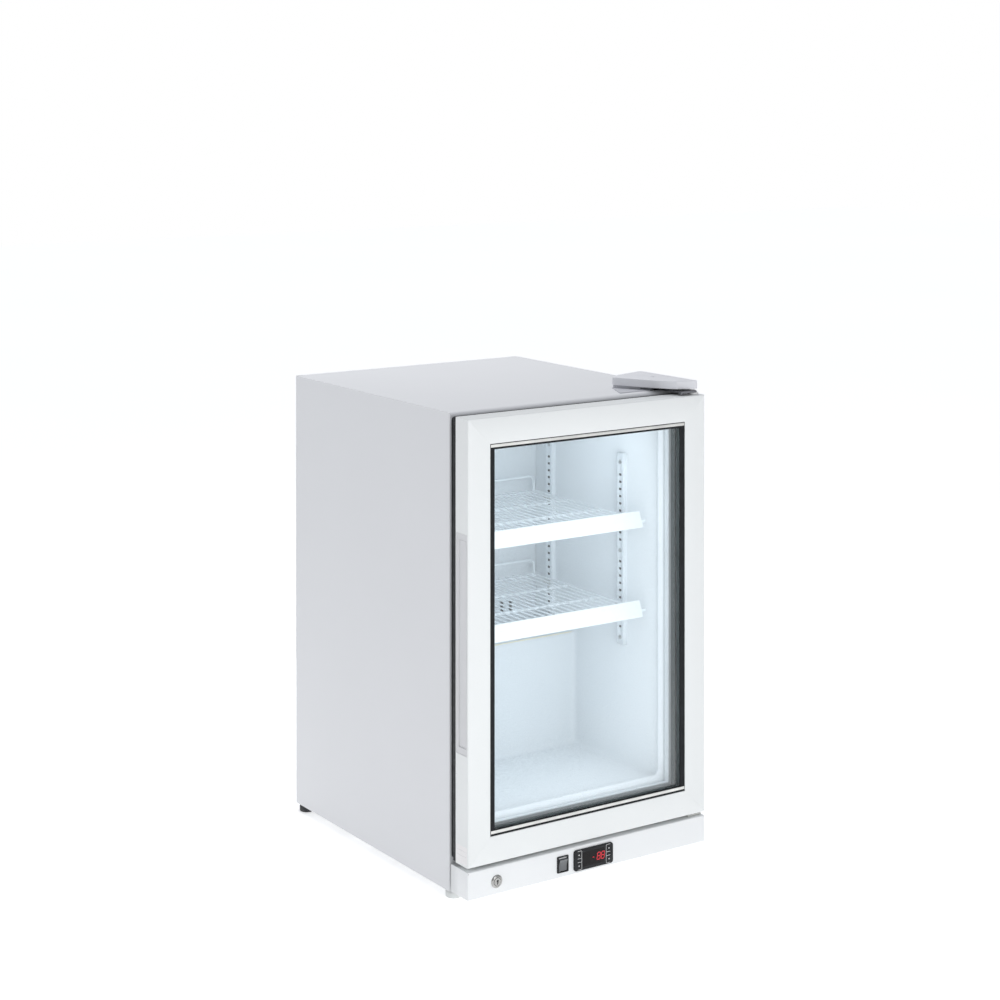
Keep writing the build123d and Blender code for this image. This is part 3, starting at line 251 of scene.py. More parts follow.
def piece(name, body, shapes, replaces=(), crease=32, wall=None, bevel=None):
    """Joins shapes, each (points, faces, material), into one object that rides on a body. wall gives a sheet
    its thickness, outwards if positive, and bevel rounds sharp edges."""
    whole, materials = bmesh.new(), []
    for points, faces, material in shapes:
        if material not in materials:
            materials.append(material)
        part = bpy.data.meshes.new("part")
        part.from_pydata(points.tolist(), [], faces)
        own = bmesh.new()
        own.from_mesh(part)
        bmesh.ops.remove_doubles(own, verts=own.verts, dist=2e-7)
        bmesh.ops.recalc_face_normals(own, faces=own.faces)
        for face in own.faces:
            face.material_index = materials.index(material)
            face.smooth = True
        own.to_mesh(part)
        own.free()
        whole.from_mesh(part)
        bpy.data.meshes.remove(part)
    mesh = bpy.data.meshes.new(name)
    whole.to_mesh(mesh)
    whole.free()
    for material in materials:
        mesh.materials.append(material)
    mesh.set_sharp_from_angle(angle=radians(crease))
    made = bpy.data.objects.new(name, mesh)
    bpy.context.scene.collection.objects.link(made)
    if wall:
        solid = made.modifiers.new("wall", "SOLIDIFY")
        solid.thickness, solid.offset, solid.use_even_offset = abs(wall), 1 if wall > 0 else -1, True
    if bevel:
        soft = made.modifiers.new("edges", "BEVEL")
        soft.width, soft.segments, soft.limit_method = bevel, 3, "ANGLE"
        soft.angle_limit, soft.harden_normals = radians(40), True
    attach(made, body)
    if replaces:
        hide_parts(*replaces)
    return made


def of(material, *shapes):
    """The shapes with a material, ready for piece()."""
    return [(points, faces, material) for points, faces in shapes]


# ---- shader maths -------------------------------------------------------------------------------------
class Reading:
    """A socket of a shader tree. Arithmetic on it adds Math nodes."""

    def __init__(self, tree, socket):
        self.tree, self.socket = tree, socket

    def node(self, kind, settings=None, inputs=None, out=0):
        """Adds a node of a type: its settings first, then the values or links of its sockets."""
        made = self.tree.nodes.new("ShaderNode" + kind)
        for name, value in (settings or {}).items():
            if name == "stops":
                ramp = made.color_ramp
                for i, (place, shade) in enumerate(value):
                    stop = ramp.elements[i] if i < 2 else ramp.elements.new(place)
                    stop.position, stop.color = place, (*shade, 1) if len(shade) == 3 else shade
            else:
                setattr(made, name, value)
        for name, value in (inputs or {}).items():
            if isinstance(value, Reading):
                self.tree.links.new(value.socket, made.inputs[name])
            else:
                made.inputs[name].default_value = value
        return Reading(self.tree, made.outputs[out])

    def maths(self, operation, first, second=None):
        given = {i: v for i, v in enumerate((first, second)) if v is not None}
        return self.node("Math", {"operation": operation}, given)

    def __add__(self, other):
        return self.maths("ADD", self, other)

    __radd__ = __add__

    def __mul__(self, other):
        return self.maths("MULTIPLY", self, other)

    __rmul__ = __mul__

    def wave(self):
        return self.maths("SINE", self)

    def ramp(self, low, high, to_low=0.0, to_high=1.0):
        """Smoothly from to_low to to_high while this reading goes from low to high."""
        settings = {"interpolation_type": "SMOOTHSTEP", "clamp": True}
        limits = {"Value": self, "From Min": low, "From Max": high, "To Min": to_low, "To Max": to_high}
        return self.node("MapRange", settings, limits)

    def blend(self, dark, light):
        """A colour from dark to light as this reading goes from 0 to 1."""
        def colour(c):
            return c if isinstance(c, Reading) else (*c, 1)
        return self.node("Mix", {"data_type": "RGBA"}, {0: self, 6: colour(dark), 7: colour(light)}, out=2)

    def noise(self, scale, detail):
        """A soft cloud of values at these coordinates."""
        given = {"Vector": self, "Scale": scale, "Detail": detail, "Roughness": 0.55}
        return self.node("TexNoise", None, given, out="Fac")

    def cells(self, scale, out="Distance"):
        """Closed cells: the distance to each cell's middle, or a colour of its own."""
        return self.node("TexVoronoi", {"feature": "F1"}, {"Vector": self, "Scale": scale}, out=out)

    def stretched(self, x, y, z):
        """These coordinates scaled along each axis, for grain that runs one way."""
        return self.node("Mapping", None, {"Vector": self, "Scale": (x, y, z)}, out="Vector")

    def part(self, axis):
        return self.node("SeparateXYZ", None, {"Vector": self}, out=axis)

    def bump(self, distance, strength):
        """A surface normal from this reading taken as a height."""
        return self.node("Bump", None, {"Height": self, "Distance": distance, "Strength": strength},
                         out="Normal")


def finish(name, **sockets):
    """A material with one shader. Each socket takes a number, a colour or a reading."""
    made = bpy.data.materials.new(name)
    made.use_nodes = True
    tree = made.node_tree
    shader = tree.nodes["Principled BSDF"]
    at = Reading(tree, tree.nodes.new("ShaderNodeTexCoord").outputs["Object"])
    for socket, value in sockets.items():
        socket = socket.replace("_", " ")
        if callable(value):
            value = value(at)
        if isinstance(value, Reading):
            tree.links.new(value.socket, shader.inputs[socket])
        elif isinstance(value, tuple) and len(value) == 3:
            shader.inputs[socket].default_value = (*value, 1)
        else:
            shader.inputs[socket].default_value = value
    return made


def scaled(colour, share):
    return tuple(min(1.0, c * share) for c in colour)


def coat(name, colour, rough, peel=0.00002, grain=900, mottle=0.012, specular=0.5, coat_weight=0.0):
    """Stoved coating: fine peel in its surface, a faint cloud of tone and of gloss."""
    return finish(
        name,
        Base_Color=lambda at: at.noise(5, 2).ramp(0.2, 0.8).blend(scaled(colour, 1 - mottle), colour),
        Roughness=lambda at: at.noise(300, 2).ramp(0.2, 0.8, rough - 0.03, rough + 0.04),
        Normal=lambda at: at.noise(grain, 2).bump(peel, 0.35),
        Specular_IOR_Level=specular, Coat_Weight=coat_weight, Coat_Roughness=0.12)


def moulding(name, colour, rough, grain=2600, depth=0.00002, mottle=0.04, specular=0.5):
    """Moulded plastic: a fine eroded grain, slight flow marks and rubbed gloss."""
    return finish(
        name,
        Base_Color=lambda at: at.stretched(1, 1, 0.35).noise(30, 4).ramp(0.3, 0.7).blend(
            scaled(colour, 1 - mottle), scaled(colour, 1 + mottle)),
        Roughness=lambda at: at.noise(60, 3).ramp(0.3, 0.7, rough - 0.06, rough + 0.06),
        Normal=lambda at: (at.cells(grain) + at.noise(grain * 0.6, 2)).bump(depth, 0.4),
        Specular_IOR_Level=specular)


def metal(name, colour, rough, grain=(1, 1, 1), scale=400, depth=0.00001, tarnish=0.15):
    """Bare or plated metal: brushed or drawn lines along one axis, and patches of duller tone."""
    return finish(
        name,
        Base_Color=lambda at: at.noise(45, 5).ramp(0.35, 0.75).blend(scaled(colour, 1 - tarnish), colour),
        Metallic=1.0,
        Roughness=lambda at: at.stretched(*grain).noise(scale, 4).ramp(0.2, 0.8, rough * 0.7, rough * 1.3),
        Normal=lambda at: at.stretched(*grain).noise(scale, 3).bump(depth, 0.4))


def spangled_zinc():
    """Hot-dip zinc: flat crystals, each with its own tone and gloss."""
    def crystals(at):
        return at.cells(75, out="Color").part("X")
    return finish(
        "zinc_spangle",
        Base_Color=lambda at: crystals(at).blend((0.50, 0.52, 0.54), (0.74, 0.75, 0.76)),
        Metallic=1.0,
        Roughness=lambda at: crystals(at).ramp(0, 1, 0.30, 0.52),
        Normal=lambda at: at.noise(500, 3).bump(0.00001, 0.3))


def foam_finish():
    """Cut polyurethane foam: small open cells, its own pale yellow painted darker and more honey-coloured in
    the hollows as painted shade.
    """
    return finish(
        "foam_cells",
        # darker honey at the cell middles, where the bump sinks: painted shade in the hollows
        Base_Color=lambda at: at.cells(520).ramp(0.0, 0.6).blend((0.80, 0.68, 0.40), (0.90, 0.84, 0.62)),
        Roughness=0.9,
        Normal=lambda at: (at.cells(520) + at.noise(120, 4)).bump(0.0004, 0.7))


def finned_finish():
    """Aluminium fins with light oxide along their edges."""
    return finish(
        "fin_aluminium",
        Base_Color=lambda at: at.stretched(1, 1, 3).noise(90, 4).ramp(0.3, 0.7).blend(
            (0.62, 0.63, 0.65), (0.80, 0.81, 0.83)),
        Metallic=0.9,
        Roughness=lambda at: at.noise(200, 3).ramp(0.2, 0.8, 0.28, 0.5),
        Normal=lambda at: (at.part("Z") * 2200).wave().bump(0.00008, 0.4))


def copper_finish():
    """Copper tube, browned in patches by heat and handling."""
    return finish(
        "tube_copper",
        Base_Color=lambda at: at.noise(60, 5).ramp(0.35, 0.7).blend((0.36, 0.18, 0.10), (0.80, 0.46, 0.30)),
        Metallic=1.0,
        Roughness=lambda at: at.noise(90, 4).ramp(0.3, 0.7, 0.22, 0.5),
        Normal=lambda at: at.noise(300, 3).bump(0.00002, 0.4))


def rubber_finish(name, colour):
    """Extruded rubber: faint lines along the extrusion and a pale bloom."""
    return finish(
        name,
        Base_Color=lambda at: at.noise(40, 5).ramp(0.45, 0.85).blend(colour, scaled(colour, 1.9)),
        Roughness=lambda at: at.noise(180, 3).ramp(0.3, 0.7, 0.42, 0.62),
        Normal=lambda at: at.stretched(1, 6, 1).noise(420, 3).bump(0.00004, 0.4),
        Specular_IOR_Level=0.25)


def glass_finish():
    """Float glass: it lets light straight through, a little green, and mirrors more at a glancing angle."""
    made = bpy.data.materials.new("float_glass")
    made.use_nodes = True
    tree = made.node_tree
    tree.nodes.remove(tree.nodes["Principled BSDF"])
    through = tree.nodes.new("ShaderNodeBsdfTransparent")
    through.inputs["Color"].default_value = (0.984, 0.992, 0.994, 1)
    shine = tree.nodes.new("ShaderNodeBsdfGlossy")
    shine.inputs["Roughness"].default_value = 0.02
    mixed = tree.nodes.new("ShaderNodeMixShader")
    at = Reading(tree, tree.nodes.new("ShaderNodeTexCoord").outputs["Object"])
    mirror = at.node("Fresnel", None, {"IOR": 1.45}) * 0.55
    smear = at.noise(14, 4).ramp(0.45, 0.9, 0.0, 0.012)
    tree.links.new((mirror + smear).socket, mixed.inputs[0])
    tree.links.new(through.outputs[0], mixed.inputs[1])
    tree.links.new(shine.outputs[0], mixed.inputs[2])
    tree.links.new(mixed.outputs[0], tree.nodes["Material Output"].inputs["Surface"])
    return made


def glow(name, colour, strength):
    """A lit segment: its own light, a little uneven across the diffuser."""
    return finish(
        name, Base_Color=scaled(colour, 0.4), Roughness=0.4,
        Emission_Color=lambda at: at.noise(900, 2).ramp(0.3, 0.7).blend(scaled(colour, 0.75), colour),
        Emission_Strength=strength)


def printed(name, colour):
    """Screen ink: slightly uneven cover over a matt film."""
    return finish(
        name,
        Base_Color=lambda at: at.noise(1800, 2).ramp(0.3, 0.7).blend(scaled(colour, 0.86), colour),
        Roughness=0.55, Normal=lambda at: at.noise(2400, 2).bump(0.00001, 0.3))


cabinet_coat = coat("cabinet_coat", (0.80, 0.808, 0.825), 0.42)
kick_coat = coat("kick_coat", (0.91, 0.925, 0.93), 0.34, grain=900)
door_coat = coat("door_coat", (0.87, 0.89, 0.885), 0.30, peel=0.00001, grain=1500, mottle=0.012)
liner_plastic = coat("liner_plastic", (0.80, 0.835, 0.86), 0.26, peel=0.00002, grain=60, mottle=0.012)
throat_plastic = coat("throat_plastic", (0.84, 0.86, 0.88), 0.20, peel=0.00002, grain=90, mottle=0.012)
rail_coat = coat("rail_coat", (0.86, 0.90, 0.93), 0.30, grain=1400)
wire_coat = coat("wire_coat", (0.89, 0.93, 0.96), 0.24, peel=0.00005, grain=420, coat_weight=0.3)
bead_plastic = coat("bead_plastic", (0.84, 0.86, 0.87), 0.34, peel=0.00001, grain=900, mottle=0.012)
strip_plastic = coat("strip_plastic", (0.88, 0.90, 0.905), 0.28, peel=0.00001, grain=300, mottle=0.01)
zinc_coat = spangled_zinc()
bright_zinc = metal("bright_zinc", (0.74, 0.74, 0.71), 0.24, scale=260)
screw_zinc = metal("screw_zinc", (0.70, 0.70, 0.69), 0.28, scale=700)
dark_zinc = metal("dark_zinc", (0.20, 0.205, 0.22), 0.30, scale=260)
nickel = metal("satin_nickel", (0.50, 0.495, 0.48), 0.24, grain=(1, 3, 1), scale=500)
satin_strip = metal("satin_strip", (0.80, 0.80, 0.77), 0.34, grain=(0.05, 6, 6), scale=900)
spacer_metal = coat("spacer_metal", (0.115, 0.140, 0.138), 0.5, peel=0.00001, grain=700, mottle=0.2)
fin_aluminium = finned_finish()
copper = copper_finish()
foam = foam_finish()
motor_paint = coat("motor_paint", (0.055, 0.058, 0.062), 0.42, grain=500, mottle=0.3)
enamel = coat("compressor_enamel", (0.018, 0.018, 0.020), 0.22, peel=0.00005, grain=260, mottle=0.4,
              coat_weight=0.4)
fan_nylon = moulding("fan_nylon", (0.035, 0.036, 0.038), 0.45, mottle=0.2)
tray_plastic = moulding("tray_plastic", (0.50, 0.51, 0.52), 0.5)
black_mould = moulding("black_mould", (0.020, 0.021, 0.023), 0.42, mottle=0.25)
trim_black = rubber_finish("trim_black", (0.016, 0.017, 0.020))
seal_rubber = rubber_finish("seal_rubber", (0.020, 0.021, 0.024))
glazing_rubber = rubber_finish("glazing_rubber", (0.008, 0.009, 0.011))
bezel_black = moulding("bezel_black", (0.012, 0.013, 0.015), 0.34, grain=4200, mottle=0.2, specular=0.3)
key_black = moulding("key_black", (0.014, 0.015, 0.017), 0.40, grain=4200, mottle=0.2, specular=0.3)
lens_dark = coat("lens_dark", (0.010, 0.008, 0.009), 0.16, peel=0.00001, mottle=0.3, specular=0.25)
rocker_plastic = coat("rocker_plastic", (0.16, 0.17, 0.18), 0.16, peel=0.00003, grain=300, mottle=0.35,
                      coat_weight=0.6)
cap_plastic = moulding("cap_plastic", (0.80, 0.805, 0.835), 0.42, grain=1800, mottle=0.015)
# the cap's grey made darker for the plinth and base plate under it: painted shade under the hinge cap
shaded_plinth_grey = moulding("shaded_plinth_grey", (0.56, 0.565, 0.60), 0.45, grain=1800, mottle=0.02)
pocket_plastic = moulding("pocket_plastic", (0.72, 0.725, 0.735), 0.36, grain=1500, depth=0.00004,
                          mottle=0.02)
foot_plastic = moulding("foot_plastic", (0.80, 0.82, 0.81), 0.45)
bush_acetal = moulding("bush_acetal", (0.90, 0.90, 0.89), 0.30)
label_film = printed("label_film", (0.99, 0.975, 0.97))
label_line = printed("label_line", (0.66, 0.66, 0.67))
white_ink = printed("white_ink", (0.80, 0.80, 0.80))
red_light = glow("red_segment", (0.80, 0.025, 0.045), 0.75)
lamp_lens = moulding("lamp_lens", (0.86, 0.90, 0.92), 0.3, mottle=0.01)
float_glass = glass_finish()


# ---- cabinet ------------------------------------------------------------------------------------------
def side_panels():
    """Folded sheet sides: one bent line in plan, carried up; at the top its front fold is cut at a mitre."""
    line = rounded([(half - 14 * MM, back - sheet * 1.5), (half - sheet / 2, back - sheet * 1.5),
                    (half - sheet / 2, front + sheet / 2), (half - side_fold, front + sheet / 2),
                    (half - side_fold, front + 9 * MM)],
                   [0, 2.0 * MM, 2.2 * MM, 1.0 * MM, 0], 7, closed=False)
    outline = thick_line(line, sheet)
    inward = np.maximum(half - outline[:, 0] - 1.2 * MM, 0) * (outline[:, 1] < front + 10 * MM)
    top = panel_top - inward * top_fold / side_fold
    shape = surface([on_axis(outline, panel_low, "z"), on_axis(outline, top, "z")])
    piece("side_panel_skins", "cabinet", of(cabinet_coat, shape, mirrored(shape)),
          replaces=("side_panels",))


def top_panel():
    """Top sheet with a rolled front edge, its fold cut back at a mitre to meet the side panels' folds."""
    line = rounded([(back, panel_top - sheet / 2), (front + sheet / 2, panel_top - sheet / 2),
                    (front + sheet / 2, panel_top - top_fold), (front + 8 * MM, panel_top - top_fold)],
                   [0, top_roll, 1.2 * MM, 0], 16, closed=False)
    outline = thick_line(line, sheet)
    drop = np.maximum(panel_top - outline[:, 1] - 1.2 * MM, 0) * (outline[:, 0] < front + 9.5 * MM)
    reach = half - sheet - 0.15 * MM - drop * (side_fold - sheet) / top_fold
    left, right = on_axis(outline, -reach, "x"), on_axis(outline, reach, "x")
    piece("top_panel_skin", "cabinet", of(cabinet_coat, surface([left, right])),
          replaces=("top_panel",))


def pressed_panel(name, node, low, high, level, depth, beads, holes=None, cell=4 * MM):
    """A sheet in the rear plane pressed by a height at each point: depth times the beads' mask. holes names
    the cells that are left open."""
    columns = int((high[0] - low[0]) / cell) + 1
    rows = int((high[1] - low[1]) / (cell * 0.6)) + 1
    x, z = np.meshgrid(np.linspace(low[0], high[0], columns), np.linspace(low[1], high[1], rows))
    grid = np.stack([x, level + depth * beads(x, z), z], -1)
    points, faces = surface(grid, around=False, first=False, last=False)
    if holes is not None:
        middle = points[np.array(faces)].mean(1)
        open_cell = holes(middle[:, 0], middle[:, 2])
        faces = [face for face, gone in zip(faces, open_cell) if not gone]
    piece(name, "cabinet", of(cabinet_coat, (points, faces)), replaces=(node,),
          wall=-0.9 * MM)


def bead(x, z, low, high, radius, width):
    """1 on a line round a rounded rectangle, falling smoothly to 0 within its width."""
    centre = (np.array(low) + np.array(high)) / 2
    reach = (np.array(high) - np.array(low)) / 2 - radius
    dx, dz = np.abs(x - centre[0]) - reach[0], np.abs(z - centre[1]) - reach[1]
    away = np.hypot(np.maximum(dx, 0), np.maximum(dz, 0)) + np.minimum(np.maximum(dx, dz), 0) - radius
    share = np.clip(1 - np.abs(away) / width, 0, 1)
    return share * share * (3 - 2 * share)


def back_panel():
    """Rear sheet with two pressed beads, one within the other, for stiffness."""
    low, high = (back_low.x, back_low.z), (back_high.x, back_high.z)

    def beads(x, z):
        outer = bead(x, z, (low[0] + 0.04, low[1] + 0.04), (high[0] - 0.04, high[1] - 0.04), 0.03, 0.006)
        inner = bead(x, z, (low[0] + 0.09, low[1] + 0.09), (high[0] - 0.09, high[1] - 0.09), 0.02, 0.006)
        return np.maximum(outer, inner)
    pressed_panel("back_panel_skin", "back_panel", low, high, back, 0.9 * MM, beads, cell=3 * MM)


def rear_grille():
    """Louvred sheet: each louvre is a hood that swells towards its open lower edge."""
    low, high = (grille_low.x, grille_low.z), (grille_high.x, grille_high.z)
    columns, rows, margin = 4, 13, 55 * MM
    pitch_x = (high[0] - low[0] - 2 * margin) / columns
    pitch_z = (high[1] - low[1] - 46 * MM) / (rows - 1)
    inlet_x, inlet_z = (inlet_low.x + inlet_high.x) / 2, (inlet_low.z + inlet_high.z) / 2

    def near_inlet(x, z):
        return (np.abs(x - inlet_x) < 30 * MM) & (np.abs(z - inlet_z) < 22 * MM)

    def place(x, z):
        across = (x - low[0] - margin) % pitch_x - pitch_x / 2
        up = (z - low[1] - 26 * MM + pitch_z / 2) % pitch_z - pitch_z / 2
        inside = (np.abs(x) < (high[0] - margin)) & (z > low[1] + 16 * MM) & (z < high[1] - 10 * MM)
        return across, up, inside & ~near_inlet(x, z)

    def hoods(x, z):
        across, up, inside = place(x, z)
        wide = np.clip((pitch_x / 2 - 7 * MM - np.abs(across)) / (4 * MM), 0, 1)
        rise = np.clip((5 * MM - up) / (8 * MM), 0, 1) * (up > -3.2 * MM)
        return wide * rise * inside

    def slots(x, z):
        across, up, inside = place(x, z)
        slot = (np.abs(across) < pitch_x / 2 - 9 * MM) & (up < -3.0 * MM) & (up > -5.6 * MM) & inside
        well = (np.abs(x - inlet_x) < 14 * MM) & (np.abs(z - inlet_z) < 10 * MM)
        return slot | well
    pressed_panel("rear_grille_skin", "rear_grille", low, high, back - 0.1 * MM, 1.1 * MM, hoods, slots,
                  cell=2 * MM)


def liner_line(inset):
    """(y, z) line of the cold space from its front lower edge, over the step, to its front upper edge."""
    low, high, far = floor_level + inset, ceiling - inset, liner_back - inset
    step, tread = hump_front - inset, hump_top + inset
    corners = [(front + 2 * sheet, low), (step, low), (step, tread), (far, tread), (far, high),
               (front + 2 * sheet, high)]
    return rounded(corners, [0, 9 * MM, 7 * MM, 9 * MM, 9 * MM, 0], 6, closed=False)


def inner_liner():
    """Moulded liner: its side view's line carried across, drawn in by a quarter circle beside each wall."""
    radius = 8 * MM
    rows = []
    for side in (-1, 1):
        angles = np.linspace(0, pi / 2, 6)
        for angle in (angles if side < 0 else angles[::-1]):
            line = liner_line(radius * (1 - sin(angle)))
            rows.append(on_axis(line, side * (inner_half - radius * (1 - cos(angle))), "x"))
    shape = surface(rows, around=False)
    piece("inner_liner_skin", "cabinet", of(liner_plastic, shape), replaces=("inner_liner",),
          wall=1.2 * MM)


def cover_flanges():
    """Turned edges of the evaporator cover: slim rounded strips that close its gap to the liner's sides."""
    low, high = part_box("evaporator_cover")
    strip = pillow("y", (high.x - 1.0 * MM, low.z + 4 * MM), (inner_half - 0.3 * MM, high.z - 4 * MM),
                   0.8 * MM, 0.5 * MM, (low.y + 4 * MM, low.y + 0.4 * MM))
    piece("evaporator_cover_flanges", "cabinet", of(liner_plastic, strip, mirrored(strip)))


def throat_frame():
    """Moulded frame of the mouth: from its flat flange over a round nose and down a long slope to the
    liner."""
    lip, sill, depth = 3 * MM, 8 * MM, 16 * MM
    flange = ((throat_low.x, throat_low.z), (throat_high.x, throat_high.z))
    mouth = ((-inner_half + lip, floor_level + sill), (inner_half - lip, ceiling - lip))
    liner = ((-inner_half, floor_level), (inner_half, ceiling))
    rows = []

    def add(a, b, share, y, radius):
        low = np.array(a[0]) * (1 - share) + np.array(b[0]) * share
        high = np.array(a[1]) * (1 - share) + np.array(b[1]) * share
        rows.append(on_axis(rectangle(low, high, radius, 9), y, "y"))
    add(flange, mouth, 0, front + 2 * sheet, 2 * MM)
    add(flange, mouth, 0, front + 0.3 * MM, 2 * MM)
    add(flange, mouth, 0.015, front, 2 * MM)
    add(flange, mouth, 0.70, front, 10 * MM)
    for angle in np.linspace(0.1, 1, 8) * pi / 2:
        add(flange, mouth, 0.70 + 0.30 * sin(angle), front + 7 * MM * (1 - cos(angle)), 12 * MM)
    for share in np.linspace(0.1, 1, 8):
        add(mouth, liner, share * share * (3 - 2 * share), front + 7 * MM + (depth - 7 * MM) * share, 11 * MM)
    add(mouth, liner, 1, front + 2 * sheet, 11 * MM)
    piece("throat_frame_moulding", "cabinet", of(throat_plastic, surface(rows, closed=True)),
          replaces=("throat_frame",))


def pilasters():
    """Slotted shelf rails: a folded channel whose web is a grid of cells, with the slots' cells left out. A
    dark strip lies behind each web: painted shade that shows through the slots."""
    width, depth, pitch, first = 18 * MM, 6 * MM, 11.85 * MM, 29.3 * MM
    wall, face = inner_half, inner_half - depth
    levels, open_rows = [rail_low.z], []
    for i in range(22):
        z = rail_low.z + first + i * pitch
        if i not in (10, 11):
            open_rows.append(len(levels))
            levels += [z - 1.9 * MM, z + 1.9 * MM]
    levels = np.array(levels + [rail_high.z])
    shapes, slot_shade_strips = [], []
    for near in (rail_low.y, rail_high.y - width):
        middle = near + width / 2
        plan = np.array([(wall, near - 2.5 * MM), (wall - 0.2 * MM, near - 0.4 * MM), (wall - 0.8 * MM, near),
                         (face + 0.8 * MM, near), (face + 0.2 * MM, near + 0.2 * MM), (face, near + 0.8 * MM),
                         (face, middle - 3.3 * MM), (face, middle + 3.3 * MM),
                         (face, near + width - 0.8 * MM),
                         (face + 0.2 * MM, near + width - 0.2 * MM), (face + 0.8 * MM, near + width),
                         (wall, near + width)])
        rows = [on_axis(plan, z, "z") for z in levels]
        points, faces = surface(rows, around=False, first=False, last=False)
        cells, slot_cell = len(plan) - 1, 6
        faces = [f for i, f in enumerate(faces) if not (i // cells in open_rows and i % cells == slot_cell)]
        shapes += of(rail_coat, (points, faces), mirrored((points, faces)))
        # dark strip behind the web: painted shade seen through the rail's slots
        slot_shade_strip = pillow("x", (near + 3.2 * MM, rail_low.z + 4 * MM), (near + 14.8 * MM, rail_high.z - 4 * MM),
                      1 * MM, 0.1 * MM, (wall - 3.2 * MM, wall - 5.1 * MM))
        slot_shade_strips += [slot_shade_strip, mirrored(slot_shade_strip)]
    piece("pilaster_rails", "cabinet", shapes, replaces=("pilasters",), wall=0.8 * MM)
    piece("pilaster_slot_shade_strips", "cabinet", of(seal_rubber, *slot_shade_strips))


def disc(rings, sides):
    """Shares of the radius, ring by ring, and angles round them, over a round face."""
    turn = np.linspace(0, 2 * pi, sides, endpoint=False)
    return np.meshgrid(np.linspace(0, 1, rings), turn, indexing="ij")


def screw_head(centre, axis, way, radius, height, spin=0.3):
    """A pan head with a cross recess: a dome over the radius, less a cross-shaped well."""
    ringed, turn = disc(15, 48)
    narrow, long = 0.16, 0.62
    u, v = ringed * np.cos(turn), ringed * np.sin(turn)
    a, b = u * cos(spin) - v * sin(spin), u * sin(spin) + v * cos(spin)
    arm = np.minimum(np.maximum(np.abs(a) / narrow, np.abs(b) / long),
                     np.maximum(np.abs(b) / narrow, np.abs(a) / long))
    dome = np.sqrt(np.clip(1 - 0.85 * ringed ** 2, 0, 1)) - 0.15
    level = np.where(ringed > 0.97, 0, dome / 0.85 * height) - 0.7 * height * np.clip(1.35 - arm, 0, 1)
    level = np.maximum(level, 0)
    order = {"z": (u * radius, v * radius, way * level), "x": (way * level, u * radius, v * radius),
             "y": (u * radius, way * level, v * radius)}
    grid = np.stack(order[axis], -1) + np.asarray(centre)
    return surface(grid, first=False, last=True)


def screws():
    """Every visible screw: three in each shelf rail, six in the rear grille, those of the two hinges."""
    shapes = []
    radius, rise = 3.6 * MM, 1.8 * MM
    for near in (rail_low.y, rail_high.y - 18 * MM):
        for height in (12, 154, 299):
            place = (inner_half - 6 * MM, near + 9 * MM, rail_low.z + height * MM)
            head = screw_head(place, "x", -1, radius, rise, 0.4 + height)
            shapes += [head, mirrored(head)]
    for z in (27.5, 120.5, 225.0):
        head = screw_head((half - 8 * MM, back, panel_low + z * MM), "y", 1, radius, 1.2 * MM, z)
        shapes += [head, mirrored(head)]
    for drop in (12, 26):
        place = (half - 17 * MM, front - 2.6 * MM, kick_high.z - drop * MM)
        shapes.append(screw_head(place, "y", -1, radius, rise, drop))
    for dx, y in ((-62, 62), (-24, 80), (-24, 40)):
        place = (half + dx * MM, front + y * MM, panel_top + 3 * MM)
        shapes.append(screw_head(place, "z", 1, radius, rise))
    x, y = cover_screw
    shapes.append(screw_head((x, y, cover_high.z - 1.8 * MM), "z", 1, 3.4 * MM, 1.3 * MM))
    piece("screw_heads", "cabinet", of(screw_zinc, *shapes), replaces=("screws",))


cover_screw = (half - 39 * MM, front + 31.6 * MM)
shelf_nodes = {"lower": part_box("shelf_lower_grid"), "upper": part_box("shelf_upper_grid")}


def shelf_clips():
    """Bent clips: each a sheet hooked into a slot, folded out under the shelf's side wire and up at its
    end."""
    shapes = []
    reach = 14 * MM - 6 * MM
    face = inner_half - 6 * MM
    for low, _ in shelf_nodes.values():
        seat = low.z - 0.4 * MM
        for near in (rail_low.y, rail_high.y - 18 * MM):
            line = rounded([(face - 0.5 * MM, seat - 14 * MM), (face - 0.6 * MM, seat - 4 * MM),
                            (face - 0.6 * MM, seat - 0.9 * MM), (face - reach, seat - 0.9 * MM),
                            (face - reach, seat - 4.5 * MM)], [0, 0, 1.6 * MM, 1.6 * MM, 0], 5, closed=False)
            outline = thick_line(line, 1.2 * MM)
            y = near + 4 * MM
            clip = stack("y", (outline, y), (outline, y + 10 * MM))
            shapes += [clip, mirrored(clip)]
    piece("shelf_clip_hooks", "cabinet", of(bright_zinc, *shapes), replaces=("shelf_clips",),
          bevel=0.25 * MM)


